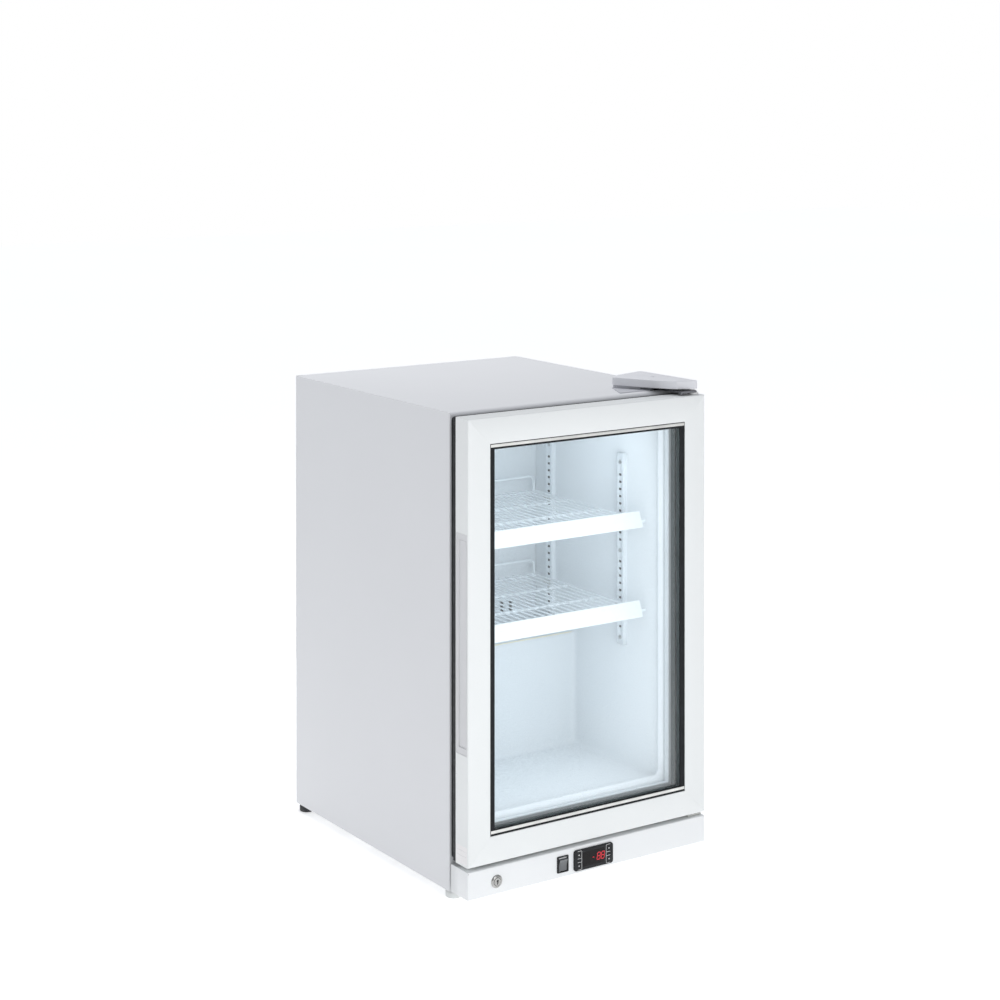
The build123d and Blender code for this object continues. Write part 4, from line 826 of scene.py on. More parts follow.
# ---- shelves ------------------------------------------------------------------------------------------
def shelf(which):
    """Welded wire shelf: a bent frame wire with horned front corners, deck wires, cross wires and a raised
    wire along the back with rounded corners."""
    low, high = shelf_nodes[which]
    frame_wire, deck_wire = 2.5 * MM, 1.4 * MM
    level = low.z + frame_wire
    side = inner_half - 11.5 * MM
    near, far = low.y + 2.5 * MM, high.y - 2.5 * MM
    horn = high.x - 1.2 * MM
    shapes = []
    front_wire = [(-horn, near, level), (horn, near, level)]
    shapes.append(tube(np.array(front_wire), frame_wire - 0.1 * MM, (0, 0, 1)))
    loop = rounded([(-side, near, level), (-side, far, level), (side, far, level), (side, near, level)],
                   [0, 9 * MM, 9 * MM, 0], 7, closed=False)
    shapes.append(tube(loop, frame_wire - 0.15 * MM, (0, 0, 1)))
    for share in (0.36, 0.68):
        y = near + (far - near) * share
        shapes.append(tube(np.array([(-side, y, level + 0.3 * MM), (side, y, level + 0.3 * MM)]), 1.9 * MM,
                           (0, 0, 1)))
    deck = level + frame_wire + deck_wire - 0.5 * MM
    count = int(2 * (side - 6 * MM) / (14 * MM))
    for i in range(count + 1):
        x = (i - count / 2) * 14 * MM
        wire = [(x, near - 1.0 * MM, deck), (x, far + 1.0 * MM, deck)]
        shapes.append(tube(np.array(wire), deck_wire, (0, 0, 1), 8))
    stop = high.z - 2.3 * MM
    rise = rounded([(-side + 6 * MM, far - 2 * MM, level), (-side + 6 * MM, far, stop),
                    (side - 6 * MM, far, stop), (side - 6 * MM, far - 2 * MM, level)],
                   [0, 9 * MM, 9 * MM, 0], 8, closed=False)
    shapes.append(tube(rise, 2.2 * MM, (0, 1, 0)))
    piece(f"shelf_{which}_wires", f"shelf_{which}", of(wire_coat, *shapes),
          replaces=(f"shelf_{which}_grid",), crease=50)


def ticket_strip(which):
    """Extruded price rail: its (y, z) section, with rounded corners and a hooked top, carried across."""
    low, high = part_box(f"ticket_strip_{which}")
    wall, rib = 1.8 * MM, shelf_nodes[which][0].z
    lean = 10 * MM / (high.z - low.z)

    def inner(z):
        return low.y + wall + lean * (z - low.z)
    fold = high.z - wall
    corners = [(low.y, low.z), (inner(low.z) + 3 * MM, low.z), (inner(low.z) + 3 * MM, low.z + wall),
               (inner(low.z + wall), low.z + wall), (inner(rib - wall), rib - wall), (high.y, rib - wall),
               (high.y, rib - 0.05 * MM), (inner(rib), rib - 0.05 * MM), (inner(fold), fold),
               (inner(fold) + 1.5 * MM, fold), (inner(fold) + 1.5 * MM, high.z),
               (inner(high.z) - wall, high.z)]
    radii = np.array([0.7, 0.5, 0.4, 0.4, 0.4, 0.5, 0.5, 0.4, 0.4, 0.3, 0.5, 0.7]) * MM
    outline = rounded(corners, radii, 4)
    shape = prism("x", outline, low.x, high.x)
    piece(f"ticket_strip_{which}_rail", f"shelf_{which}", of(strip_plastic, shape),
          replaces=(f"ticket_strip_{which}",))


# ---- door ---------------------------------------------------------------------------------------------
def bar_profile(side_inset):
    """(inset, y) section of a door bar: a flat face between two soft edges, a lip and a groove for the
    glass, and the part behind it."""
    pane = door_front + glass_lip
    behind = pane + glass_unit
    corners = [(side_inset, door_back), (side_inset, door_front), (frame_width, door_front),
               (frame_width, pane), (frame_width - glass_bite, pane), (frame_width - glass_bite, behind),
               (frame_width, behind), (frame_width, door_back)]
    radii = np.array([0.4, 1.6, 0.9, 0.25, 0.2, 0.2, 0.3, 0.4]) * MM
    return rounded(corners, radii, 5)


def door_rails():
    """Top and bottom bars: the section carried across, its ends cut at 45 degrees with a hair's gap."""
    section, gap = bar_profile(film), 0.06 * MM
    shapes = []
    for edge, way in ((door_high, -1), (door_low, 1)):
        level = edge + way * section[:, 0]
        end = half - section[:, 0] - gap
        rows = [np.stack([s * end, section[:, 1], level], 1) for s in (-1, 1)]
        shapes.append(surface(rows))
    piece("door_rail_bars", "door", of(door_coat, *shapes), replaces=("door_rails",))


def door_stiles():
    """Side bars: the section carried up. Along the handle the left bar's outer face steps in round its
    pocket."""
    shapes = []
    for side in (-1, 1):
        section = bar_profile(film)
        if side < 0:
            extra = np.array([(film, handle_high.y), (film, handle_high.y), (film, handle_low.y),
                              (film, handle_low.y)])
            section = np.insert(section, 5, extra, axis=0)
        pocket = section.copy()
        if side < 0:
            pocket[6:8, 0] = handle_high.x - handle_low.x + 0.1 * MM

        def row(profile, z, mitre):
            height = z + mitre * (profile[:, 0] + 0.06 * MM)
            return np.stack([side * (half - profile[:, 0]), profile[:, 1], height], 1)
        rows = [row(section, door_low, 1)]
        if side < 0:
            for z, profile in ((handle_low.z, section), (handle_low.z, pocket), (handle_high.z, pocket),
                               (handle_high.z, section)):
                rows.append(row(profile, z, 0))
        rows.append(row(section, door_high, -1))
        shapes.append(surface(rows))
    piece("door_stile_bars", "door", of(door_coat, *shapes), replaces=("door_stiles",))


def handle_insert():
    """Recessed pull: a plate with a fine raised edge round a pocket whose four walls slope to its floor. Each
    row is a rounded rectangle at its own depth."""
    face = handle_low.x
    y0, y1, z0, z1 = handle_low.y, handle_high.y, handle_low.z, handle_high.z
    mouth = (y0 + 3.4 * MM, y1 - 7.0 * MM, z0 + 11 * MM, z1 - 11 * MM)
    floor = (y0 + 10.5 * MM, y1 - 9.0 * MM, z0 + 31 * MM, z1 - 31 * MM)

    def row(box, depth, radius):
        return rectangle((box[0], box[2]), (box[1], box[3]), radius, 5), face + depth

    def inset(box, by):
        return box[0] + by, box[1] - by, box[2] + by, box[3] - by
    outer = (y0, y1, z0, z1)
    plate = stack("x", row(outer, 1.6 * MM, 1.2 * MM), row(outer, 0.25 * MM, 1.2 * MM),
                  row(inset(outer, 0.25 * MM), 0, 1.0 * MM), row(inset(outer, 1.3 * MM), 0, 0.8 * MM),
                  row(inset(outer, 1.7 * MM), 0.5 * MM, 0.8 * MM),
                  row(inset(mouth, -1.2 * MM), 0.5 * MM, 1.6 * MM),
                  row(inset(mouth, -0.9 * MM), 0.1 * MM, 1.4 * MM),
                  row(inset(mouth, -0.3 * MM), 0.1 * MM, 1.2 * MM),
                  row(mouth, 0.5 * MM, 1.0 * MM), row(inset(mouth, 0.3 * MM), 1.5 * MM, 1.0 * MM),
                  row(floor, 14.6 * MM, 1.4 * MM), row(inset(floor, 0.8 * MM), 15 * MM, 1.2 * MM))
    piece("handle_pocket", "door", of(pocket_plastic, plate), replaces=("handle_insert",))


def door_label():
    """Blank film label low on the door's left side, with two fine printed lines across it."""
    low, high = (door_front + 2.5 * MM, door_low + 3 * MM), (door_back - 1.5 * MM, door_low + 30 * MM)
    face = -half + film
    body = stack("x", (rectangle(low, high, 1.2 * MM), face + 0.05 * MM),
                 (rectangle(low, high, 1.2 * MM), face - 0.08 * MM))
    shapes = of(label_film, body)
    for drop in (7.5, 15.0):
        z = high[1] - drop * MM
        line = stack("x", (rectangle((low[0] + 2 * MM, z), (high[0] - 2 * MM, z + 0.3 * MM), 0.1 * MM, 3),
                           face - 0.07 * MM),
                     (rectangle((low[0] + 2 * MM, z), (high[0] - 2 * MM, z + 0.3 * MM), 0.1 * MM, 3),
                      face - 0.105 * MM))
        shapes += of(label_line, line)
    piece("door_side_label", "door", shapes)


def glazing():
    """Black glazing seal round the glass with a groove and a soft lip, satin strips along its long edges, and
    the two panes with rounded corners and the spacer between them."""
    low, high = (gasket_low.x, gasket_low.z), (gasket_high.x, gasket_high.z)
    y0, y1 = gasket_low.y, door_front + glass_lip
    section = rounded([(0, y1), (0, y0 + 0.2 * MM), (0.5 * MM, y0), (3.2 * MM, y0), (3.5 * MM, y0 + 0.4 * MM),
                       (3.9 * MM, y0), (7.6 * MM, y0 + 0.1 * MM), (9 * MM, y1 - 0.9 * MM), (9 * MM, y1)],
                      [0, 0.2 * MM, 0.3 * MM, 0.15 * MM, 0.15 * MM, 0.15 * MM, 0.8 * MM, 0.3 * MM, 0], 3)
    y2, y3 = y1 + glass_unit, door_back - 0.1 * MM
    wedge = rounded([(0.02 * MM, y2), (1.6 * MM, y2), (2.5 * MM, y2 + 1.2 * MM), (2.2 * MM, y3 - 2 * MM),
                     (1.4 * MM, y3), (0.02 * MM, y3)], [0, 0.5 * MM, 0.6 * MM, 0.8 * MM, 0.3 * MM, 0], 4)
    corner = 0.3 * MM
    outer = of(glazing_rubber, ring(section, low, high, corner, 3))
    rear = of(spacer_metal, ring(wedge, low, high, corner, 3))
    piece("glazing_seal", "door", outer + rear, replaces=("glazing_gasket",))
    strip_low, strip_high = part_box("glazing_strips")
    shapes = []
    for z in (door_low + frame_width + 3.4 * MM, strip_high.z - 4.5 * MM):
        shapes.append(pillow("y", (strip_low.x, z), (strip_high.x, z + 4.5 * MM), 0.4 * MM, 0.25 * MM,
                             (strip_high.y + 0.2 * MM, strip_low.y)))
    piece("satin_glazing_strips", "door", of(satin_strip, *shapes),
          replaces=("glazing_strips",))
    pane_low, pane_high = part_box("glass_panes")
    shapes = []
    for y in (pane_low.y, pane_high.y - glass):
        shapes.append(prism("y", rectangle((pane_low.x, pane_low.z), (pane_high.x, pane_high.z), 2 * MM, 5),
                            y + 0.02 * MM, y + glass - 0.02 * MM))
    piece("double_glazing", "door", of(float_glass, *shapes), replaces=("glass_panes",))
    low, high = (spacer_low.x, spacer_low.z), (spacer_high.x, spacer_high.z)
    y0, y1 = spacer_low.y + 0.05 * MM, spacer_high.y - 0.05 * MM
    tall = 7.5 * MM
    section = rounded([(0, y0), (tall - 1.2 * MM, y0), (tall, y0 + 1.2 * MM), (tall, y1 - 1.2 * MM),
                       (tall - 1.2 * MM, y1), (0, y1)],
                      np.array([0.2, 0.3, 0.4, 0.4, 0.3, 0.2]) * MM, 4)
    piece("glass_spacer_bar", "door", of(spacer_metal, ring(section, low, high, 0.0006, 3)),
          replaces=("glass_spacer",))


def door_seals():
    """Black moulding on the door's back with two steps, and the magnetic seal: a folded bellows with a flat
    magnet face."""
    low, high = (trim_low.x, trim_low.z), (trim_high.x, trim_high.z)
    y0, y1 = trim_low.y, trim_high.y
    section = rounded([(0.2 * MM, y0), (0.2 * MM, y1 - 2.4 * MM), (5 * MM, y1 - 2.4 * MM), (6.5 * MM, y1),
                       (10 * MM, y1), (10.6 * MM, y1 - 1.6 * MM), (32 * MM, y1 - 1.6 * MM),
                       (33.9 * MM, y1 - 0.6 * MM), (33.9 * MM, y0)],
                      [0.1 * MM] + [0.7 * MM] * 7 + [0.1 * MM], 4)
    y2 = front - 1.2 * MM
    bead = rounded([(34 * MM, y0), (34 * MM, y1 - 0.8 * MM), (39 * MM, y1), (40 * MM, y2), (42.5 * MM, y2),
                    (46 * MM, y1 - 1.0 * MM), (46 * MM, y0 + 0.2 * MM), (45.4 * MM, y0)],
                   [0.1 * MM, 0.6 * MM, 0.6 * MM, 0.8 * MM, 1.0 * MM, 3.0 * MM, 0.5 * MM, 0.3 * MM], 5)
    piece("door_back_trim", "door", of(trim_black, ring(section, low, high, 0.003, 5)),
          replaces=("door_rear_trim",))
    piece("rear_glazing_bead", "door", of(bead_plastic, ring(bead, low, high, 0.003, 5)))
    low, high = (seal_low.x, seal_low.z), (seal_high.x, seal_high.z)
    y0, y1 = seal_low.y - 0.2 * MM, seal_high.y
    outline = np.array([(4, 0), (4.4, 1.6), (1.0, 2.2), (0, 3.6), (0.8, 4.9), (3.0, 5.6), (6.0, 5.3),
                        (10.4, 5.4), (11.5, 6.2), (12.2, 7.8), (35, 7.8), (37.5, 6.4),
                        (35.5, 4.4), (37, 2.6), (32, 0)])
    place = np.stack([outline[:, 0] * MM, y0 + outline[:, 1] / 7.8 * (y1 - y0)], 1)
    radii = np.array([0.1, 0.6, 0.6, 0.9, 0.8, 0.8, 0.8, 0.6, 0.5, 0.6, 0.8, 0.8, 0.8, 0.8, 0.1]) * MM
    section = rounded(place, radii, 4)
    piece("door_magnet_seal", "door", of(seal_rubber, ring(section, low, high, 0.006, 6)),
          replaces=("door_gasket",))


def door_fittings():
    """White flanged bushings in the door's ends, where the hinge pins turn."""
    low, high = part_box("door_bushings")
    x, y = (low.x + high.x) / 2, (low.y + high.y) / 2
    bore, body, flange = 4.05 * MM, 7 * MM, 8.5 * MM
    top = [(bore, high.z - 17 * MM), (body, high.z - 17 * MM), (body, high.z - 3.2 * MM),
           (flange - 0.4 * MM, high.z - 3.2 * MM), (flange, high.z - 2.8 * MM), (flange, high.z - 0.6 * MM),
           (flange - 0.6 * MM, high.z), (bore + 0.5 * MM, high.z), (bore, high.z - 0.5 * MM),
           (bore, high.z - 17 * MM)]
    foot = [(bore, low.z + 17 * MM), (body, low.z + 17 * MM), (body, low.z + 0.1 * MM),
            (bore + 0.4 * MM, low.z + 0.1 * MM), (bore, low.z + 0.5 * MM), (bore, low.z + 17 * MM)]
    shapes = [lathe(profile, (x, y, 0), "z", 36) for profile in (top, foot)]
    piece("door_pin_bushings", "door", of(bush_acetal, *shapes), replaces=("door_bushings",))


# ---- hinges -------------------------------------------------------------------------------------------
def cover_corners(inset):
    """(x, y) corners of the top hinge's cap, drawn in by inset."""
    right, tip = half - 6 * MM - inset, door_front + 4.5 * MM + inset
    return [(half - 97 * MM + inset * 1.6, front + 66 * MM - inset * 0.4),
            (half - 76 * MM + inset, front + 80 * MM - inset),
            (half - 14 * MM - inset, front + 97 * MM - inset),
            (right, tip), (half - 40 * MM + inset * 0.6, front - 31 * MM + inset),
            (half - 57 * MM + inset, front - 9 * MM + inset * 0.6)][::-1]


def hinge_cover():
    """Moulded cap: its outline rises, turns over a rounded edge, and runs in to a countersunk screw hole. Its
    plinth is a ring under it, on a thin base plate. Both are in a darker copy of the cap's grey: painted
    shade under the cap."""
    high, low = cover_high.z, cover_high.z - 13 * MM
    radius, edge = 5 * MM, 1.6 * MM
    rows = [(rounded(cover_corners(2 * MM), 3 * MM, 8), high - 2 * MM),
            (rounded(cover_corners(2 * MM), 3 * MM, 8), low + 0.1 * MM),
            (rounded(cover_corners(0.3 * MM), radius, 8), low),
            (rounded(cover_corners(0), radius, 8), low + 0.3 * MM)]
    for angle in np.linspace(0, pi / 2, 6):
        outline = rounded(cover_corners(edge * (1 - cos(angle))), radius, 8)
        rows.append((outline, high - edge * (1 - sin(angle))))
    rim = rows[-1][0]
    centre = np.array(cover_screw)
    angle = np.arctan2(rim[:, 1] - centre[1], rim[:, 0] - centre[0])
    spoke = np.stack([np.cos(angle), np.sin(angle)], 1)
    rows += [(centre + 5.4 * MM * spoke, high), (centre + 4.2 * MM * spoke, high - 0.9 * MM),
             (centre + 4.0 * MM * spoke, high - 1.85 * MM)]
    cap = surface([on_axis(outline, level, "z") for outline, level in rows])
    base = rounded(cover_corners(1.0 * MM), 4 * MM, 6)
    inner = rounded(cover_corners(5.0 * MM), 2 * MM, 6)
    keep = front + 9 * MM
    base[:, 1], inner[:, 1] = np.maximum(base[:, 1], keep), np.maximum(inner[:, 1], keep + 2 * MM)
    foot, top = panel_top, cover_low.z + 5.4 * MM
    walls = ((base, foot), (base, top), (inner, top), (inner, foot))
    plinth = surface([on_axis(outline, level, "z") for outline, level in walls], closed=True)
    plate_corners = [(half - 9 * MM, front + 12 * MM), (half - 15 * MM, front + 95 * MM),
                     (half - 76 * MM, front + 79 * MM), (half - 96 * MM, front + 66 * MM),
                     (half - 121 * MM, front + 12 * MM)]
    plate_outline = rounded(plate_corners, 2 * MM, 6)
    base_plate = stack("z", (plate_outline, panel_top - 0.2 * MM), (plate_outline, panel_top + 1.2 * MM))
    # plinth and base plate take the darker grey: painted shade under the cap
    shapes = of(cap_plastic, cap) + of(shaded_plinth_grey, plinth, base_plate)
    piece("hinge_cap", "cabinet", shapes, replaces=("hinge_cover",), bevel=0.15 * MM)


# ---- kick panel and its controls ----------------------------------------------------------------------
def kick_panel():
    """Folded box under the door: rounded rectangles from its open back to its face, turned over small bends.
    One cell of its top is left out, where the lock's cam comes up."""
    low, high = np.array((kick_low.x, kick_low.z)), np.array((kick_high.x, kick_high.z))
    cam_low, cam_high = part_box("lock_cam")
    bend = 1.3 * MM
    slot_left, slot_right = lock_x - 9 * MM, lock_x + 22 * MM
    top_edge = 12  # three rounded corners of four points each come before the top edge

    def outline(inset):
        edge = rectangle(low + inset, high - inset, 0.5 * MM, 4)
        top = high[1] - inset
        return np.insert(edge, top_edge, [(slot_right, top), (slot_left, top)], axis=0)
    levels = [(kick_high.y, 0), (cam_high.y + 1.5 * MM, 0), (cam_low.y - 1.5 * MM, 0)]
    for angle in np.linspace(0, pi / 2, 6):
        levels.append((door_front + bend * (1 - sin(angle)), bend * (1 - cos(angle))))
    points, faces = surface([on_axis(outline(inset), level, "y") for level, inset in levels], first=False)
    del faces[len(outline(0)) + top_edge]
    shape = points, faces
    piece("kick_panel_skin", "cabinet", of(kick_coat, shape), replaces=("kick_panel",),
          wall=-1.1 * MM)
    # black discs at the bend reliefs: painted shade standing for the dark inside of the relief holes
    relief_hole_shades = []
    for side in (-1, 1):
        place = (side * (half - 1.5 * MM), door_front + 0.02 * MM, kick_high.z - 2.2 * MM)
        relief_hole_shades.append(lathe([(0, 0), (0.85 * MM, 0), (0.85 * MM, 0.4 * MM), (0, 0.4 * MM)], place, "y", 16))
    piece("kick_relief_hole_shades", "cabinet", of(black_mould, *relief_hole_shades))


lock_x, lock_z = (plug_low.x + plug_high.x) / 2, (barrel_low.z + barrel_high.z) / 2


def lock():
    """Cam lock: a turned head with a chamfer and a step, a threaded body with its nut, and a key cylinder
    whose face is cut by a key slot, with a dark disc behind the slot as painted shade in the keyway."""
    y, face = barrel_low.y, barrel_low.y + 2.5 * MM
    bore = 6.05 * MM
    profile = [(bore, face + 20 * MM), (9.0 * MM, face + 20 * MM)]
    for i in range(11):
        profile += [(9.4 * MM, face + (19 - 1.4 * i) * MM), (8.9 * MM, face + (18.3 - 1.4 * i) * MM)]
    profile += [(9.4 * MM, face + 0.05 * MM), (9.8 * MM, face + 0.05 * MM), (9.8 * MM, face - 0.5 * MM),
                (9.3 * MM, face - 1.1 * MM), (7.7 * MM, y + 0.1 * MM), (7.1 * MM, y),
                (6.6 * MM, y + 0.15 * MM), (6.3 * MM, y + 0.5 * MM), (bore, y + 0.7 * MM),
                (bore, face + 20 * MM)]
    head = lathe(profile, (lock_x, 0, lock_z), "y", 64)
    sixths = np.linspace(0, 2 * pi, 6, endpoint=False)
    corners = 14 * MM * np.stack([np.cos(sixths), np.sin(sixths)], 1)
    hexagon = rounded(corners, 0.8 * MM, 4) + np.array([lock_x, lock_z])
    nut = stack("y", (hexagon, face + 1.2 * MM), (hexagon, face + 5.2 * MM))
    piece("lock_barrel_turning", "cabinet", of(nickel, head, nut), replaces=("lock_barrel",))
    ringed, turn = disc(40, 96)
    u, v = 5.95 * MM * ringed * np.cos(turn), 5.95 * MM * ringed * np.sin(turn)
    bend = 0.25 * MM * np.sin(v / (0.8 * MM))
    slot = np.maximum(np.abs(u + bend) - 0.85 * MM, np.abs(v + 0.4 * MM) - 3.4 * MM)
    round_part = np.hypot(u, v - 1.4 * MM) - 1.6 * MM
    cut = np.clip(-np.minimum(slot, round_part) / (0.25 * MM), 0, 1)
    y0 = plug_low.y
    level = y0 + 3.0 * MM * cut + 0.5 * MM * np.clip((ringed - 0.9) / 0.1, 0, 1) ** 2
    grid = np.stack([u + lock_x, level, v + lock_z], -1)
    rear = [on_axis(np.stack([lock_x + r * np.cos(turn[0]), lock_z + r * np.sin(turn[0])], 1), depth, "y")
            for r, depth in ((5.95 * MM, plug_high.y - 4 * MM), (3.6 * MM, plug_high.y - 4 * MM),
                             (3.6 * MM, plug_high.y))]
    shape = surface(np.concatenate([grid, np.array(rear)]), first=False)
    # black disc behind the key slot: painted shade in the keyway
    near, far = y0 + 1.6 * MM, y0 + 2.2 * MM
    shade = lathe([(0, near), (5.6 * MM, near), (5.6 * MM, far), (0, far)], (lock_x, 0, lock_z), "y", 32)
    piece("lock_cylinder", "lock", of(nickel, shape) + of(black_mould, shade),
          replaces=("lock_plug",), crease=40)


def switch():
    """Snap-in switch: a bezel with a rounded edge round a well, and a rocker whose face is a hollow arc."""
    low, high = (switch_low.x, switch_low.z), (switch_high.x, switch_high.z)
    middle = np.array([(low[0] + high[0]) / 2, (low[1] + high[1]) / 2])
    y0, face = switch_low.y, switch_low.y + 2 * MM
    well = np.array([7.65 * MM, 10.4 * MM])
    body = np.array([9.3 * MM, 10.8 * MM])

    def row(reach, radius, y):
        return rectangle(middle - reach, middle + reach, radius, 5), y
    outer = np.array(high) - middle
    rows = [row(body, 0.4 * MM, switch_high.y), row(body, 0.4 * MM, face + 0.1 * MM),
            row(outer, 1.5 * MM, face), row(outer, 1.5 * MM, y0 + 0.7 * MM),
            row(outer - 0.25 * MM, 1.4 * MM, y0 + 0.2 * MM), row(outer - 0.8 * MM, 1.2 * MM, y0),
            row(well + 0.8 * MM, 0.8 * MM, y0), row(well + 0.2 * MM, 0.6 * MM, y0 + 0.4 * MM),
            row(well, 0.5 * MM, y0 + 1.0 * MM), row(well, 0.5 * MM, y0 + 12.5 * MM)]
    piece("switch_bezel", "cabinet", of(bezel_black, stack("y", *rows)),
          replaces=("switch_housing",))
    pivot_y, tilt = door_front + 1.8 * MM, radians(10)
    bow = np.linspace(-1, 1, 15)
    face_line = np.stack([-5.15 * MM + 1.6 * MM * (1 - bow ** 2), bow * 8.9 * MM], 1)
    back_line = np.array([(-1.0, 8.9), (3.0, 3.0), (3.0, -3.0), (-1.0, -8.9)]) * MM
    outline = np.concatenate([face_line, back_line])
    lower, upper = middle[0] - 7.15 * MM, middle[0] + 7.15 * MM
    place = outline + np.array([pivot_y, middle[1]])
    shape = turned(prism("x", place, lower, upper), "x", tilt, (0, pivot_y, middle[1]))
    piece("switch_rocker_key", "rocker", of(rocker_plastic, shape),
          replaces=("switch_rocker",), bevel=0.35 * MM)


control_x, control_z = (control_low.x + control_high.x) / 2, (control_low.z + control_high.z) / 2
key_names = ("upper_left", "lower_left", "upper_right", "lower_right")
key_places = {name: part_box(f"button_{name}") for name in key_names}


def controller():
    """Panel thermostat: a softly rounded bezel over a body, a dark lens, and four keys in their wells."""
    low, high = np.array((control_low.x, control_low.z)), np.array((control_high.x, control_high.z))
    y0, face = control_low.y, control_low.y + 3 * MM
    lap, corner, edge = 1.7 * MM, 4.6 * MM, 1.1 * MM
    rows = [(rectangle(low + lap, high - lap, 1 * MM, 8), control_high.y),
            (rectangle(low + lap, high - lap, 1 * MM, 8), face + 0.05 * MM),
            (rectangle(low, high, corner, 8), face)]
    for angle in np.linspace(0, pi / 2, 6):
        inset, drop = edge * (1 - cos(angle)), edge * (1 - sin(angle))
        rows.append((rectangle(low + inset, high - inset, corner - inset, 8), y0 + drop))
    bezel = stack("y", *rows)
    piece("controller_bezel", "cabinet", of(bezel_black, bezel),
          replaces=("controller_housing",))
    lens = pillow("y", (window_low.x, window_low.z), (window_high.x, window_high.z), 1.6 * MM, 0.12 * MM,
                  (y0 + 0.4 * MM, y0 - 0.12 * MM))
    piece("controller_lens", "cabinet", of(lens_dark, lens),
          replaces=("controller_window",))
    for name, (key_low, key_high) in key_places.items():
        key = pillow("y", (key_low.x, key_low.z), (key_high.x, key_high.z), 2.0 * MM, 0.25 * MM,
                     (key_high.y, key_low.y + 0.05 * MM))
        x, z = (key_low.x + key_high.x) / 2, (key_low.z + key_high.z) / 2
        way = 1 if "upper" in name else -1
        foot, tip = z - way * 1.0 * MM, z + way * 1.4 * MM
        arrow = rounded([(x - 1.5 * MM, foot), (x + 1.5 * MM, foot), (x, tip)], 0.25 * MM, 4)
        mark = stack("y", (arrow, key_low.y + 0.08 * MM), (arrow, key_low.y))
        piece(f"controller_key_{name}", f"button_{name}",
              of(key_black, key) + of(white_ink, mark), replaces=(f"button_{name}",))


def key_brackets():
    """Printed lines round the keys: a bent line above each key and one below, joined on the inner side."""
    y0, shapes = control_low.y, []
    for side in (-1, 1):
        x, reach = control_x + side * 28.5 * MM, 5.3 * MM
        inner, outer = x - side * reach, x + side * reach * 0.45
        for level, way in ((8.5 * MM, 1), (-8.5 * MM, -1)):
            z = control_z + level
            near, far = z + way * 5.7 * MM, z - way * 5.7 * MM
            line = rounded([(outer, near), (inner, near), (inner, far), (outer, far)],
                           [0, 1.6 * MM, 1.6 * MM, 0], 5, closed=False)
            outline = thick_line(line, 0.55 * MM)
            shapes.append(stack("y", (outline, y0 + 0.1 * MM), (outline, y0 - 0.05 * MM)))
        line = thick_line(np.array([(inner, control_z - 3.0 * MM), (inner, control_z + 3.0 * MM)]), 0.55 * MM)
        shapes.append(stack("y", (line, y0 + 0.1 * MM), (line, y0 - 0.05 * MM)))
    piece("controller_key_lines", "cabinet", of(white_ink, *shapes))


def segments(x, z, height, width, stroke, lit):
    """Bars of a seven-segment figure, each a long hexagon, leaning to the right."""
    lean, gap = 0.14, stroke * 0.16
    shapes = []
    for name in lit:
        across = name in "agd"
        level = {"a": 1, "g": 0, "d": -1}.get(name, 0.5 if name in "bf" else -0.5)
        side = {"b": 1, "c": 1, "e": -1, "f": -1}.get(name, 0)
        centre = np.array([side * width / 2, level * height / 2])
        reach = (width if across else height / 2) / 2 - gap
        tip = stroke / 2
        bar = np.array([(-reach, 0), (-reach + tip, tip), (reach - tip, tip), (reach, 0), (reach - tip, -tip),
                        (-reach + tip, -tip)])
        bar = (bar if across else bar[:, ::-1]) + centre
        bar[:, 0] += bar[:, 1] * lean
        bar += np.array([x, z])
        shapes.append(stack("y", (bar, window_low.y - 0.45 * MM), (bar, window_low.y - 0.34 * MM)))
    return shapes


def display():
    """Lit figures behind the lens: a dash and two eights, the display's own test pattern."""
    height, width, stroke = 10.6 * MM, 5.6 * MM, 1.15 * MM
    z = control_z + 0.2 * MM
    shapes = segments(control_x + 8.8 * MM, z, height, width, stroke, "abcdefg")
    shapes += segments(control_x + 16.8 * MM, z, height, width, stroke, "abcdefg")
    shapes += segments(control_x - 1.2 * MM, z, height, width * 0.62, stroke, "g")
    piece("display_figures", "cabinet", of(red_light, *shapes))


# ---- feet, fans and lamp ------------------------------------------------------------------------------
def foot_shapes(centre, low):
    """Levelling foot: a pad with a scalloped grip, a rounded sole and a threaded stem."""
    x, y = centre
    stem = [(0, low + 0.2 * MM), (9 * MM, low), (11.5 * MM, low + 0.2 * MM), (12.7 * MM, low + 1.2 * MM),
            (12.9 * MM, low + 8.2 * MM), (12.2 * MM, low + 9.6 * MM), (10.4 * MM, low + 11.4 * MM),
            (0, low + 11.5 * MM)]

    def scallops(turn):
        return 1 - 0.022 * (0.5 + 0.5 * np.cos(turn * 18))
    pad = lathe(stem, (x, y, 0), "z", 108, scallops)
    thread = [(0, low + 11 * MM)]
    for i in range(16):
        thread += [(3.95 * MM, low + (11 + 1.5 * i) * MM), (3.4 * MM, low + (11.75 + 1.5 * i) * MM)]
    thread.append((0, low + 35.9 * MM))
    return pad, lathe(thread, (x, y, 0), "z", 24)


def feet():
    for name in ("front_foot_left", "front_foot_right"):
        low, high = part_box(name)
        pad, stem = foot_shapes(((low.x + high.x) / 2, (low.y + high.y) / 2), low.z)
        piece(f"{name}_pad", name, of(foot_plastic, pad) + of(bright_zinc, stem),
              replaces=(name,))
    low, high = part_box("rear_feet")
    shapes = []
    for x in (low.x + 13 * MM, high.x - 13 * MM):
        pad, stem = foot_shapes((x, (low.y + high.y) / 2), low.z)
        shapes += of(black_mould, pad) + of(bright_zinc, stem)
    piece("rear_feet_pads", "cabinet", shapes, replaces=("rear_feet",))


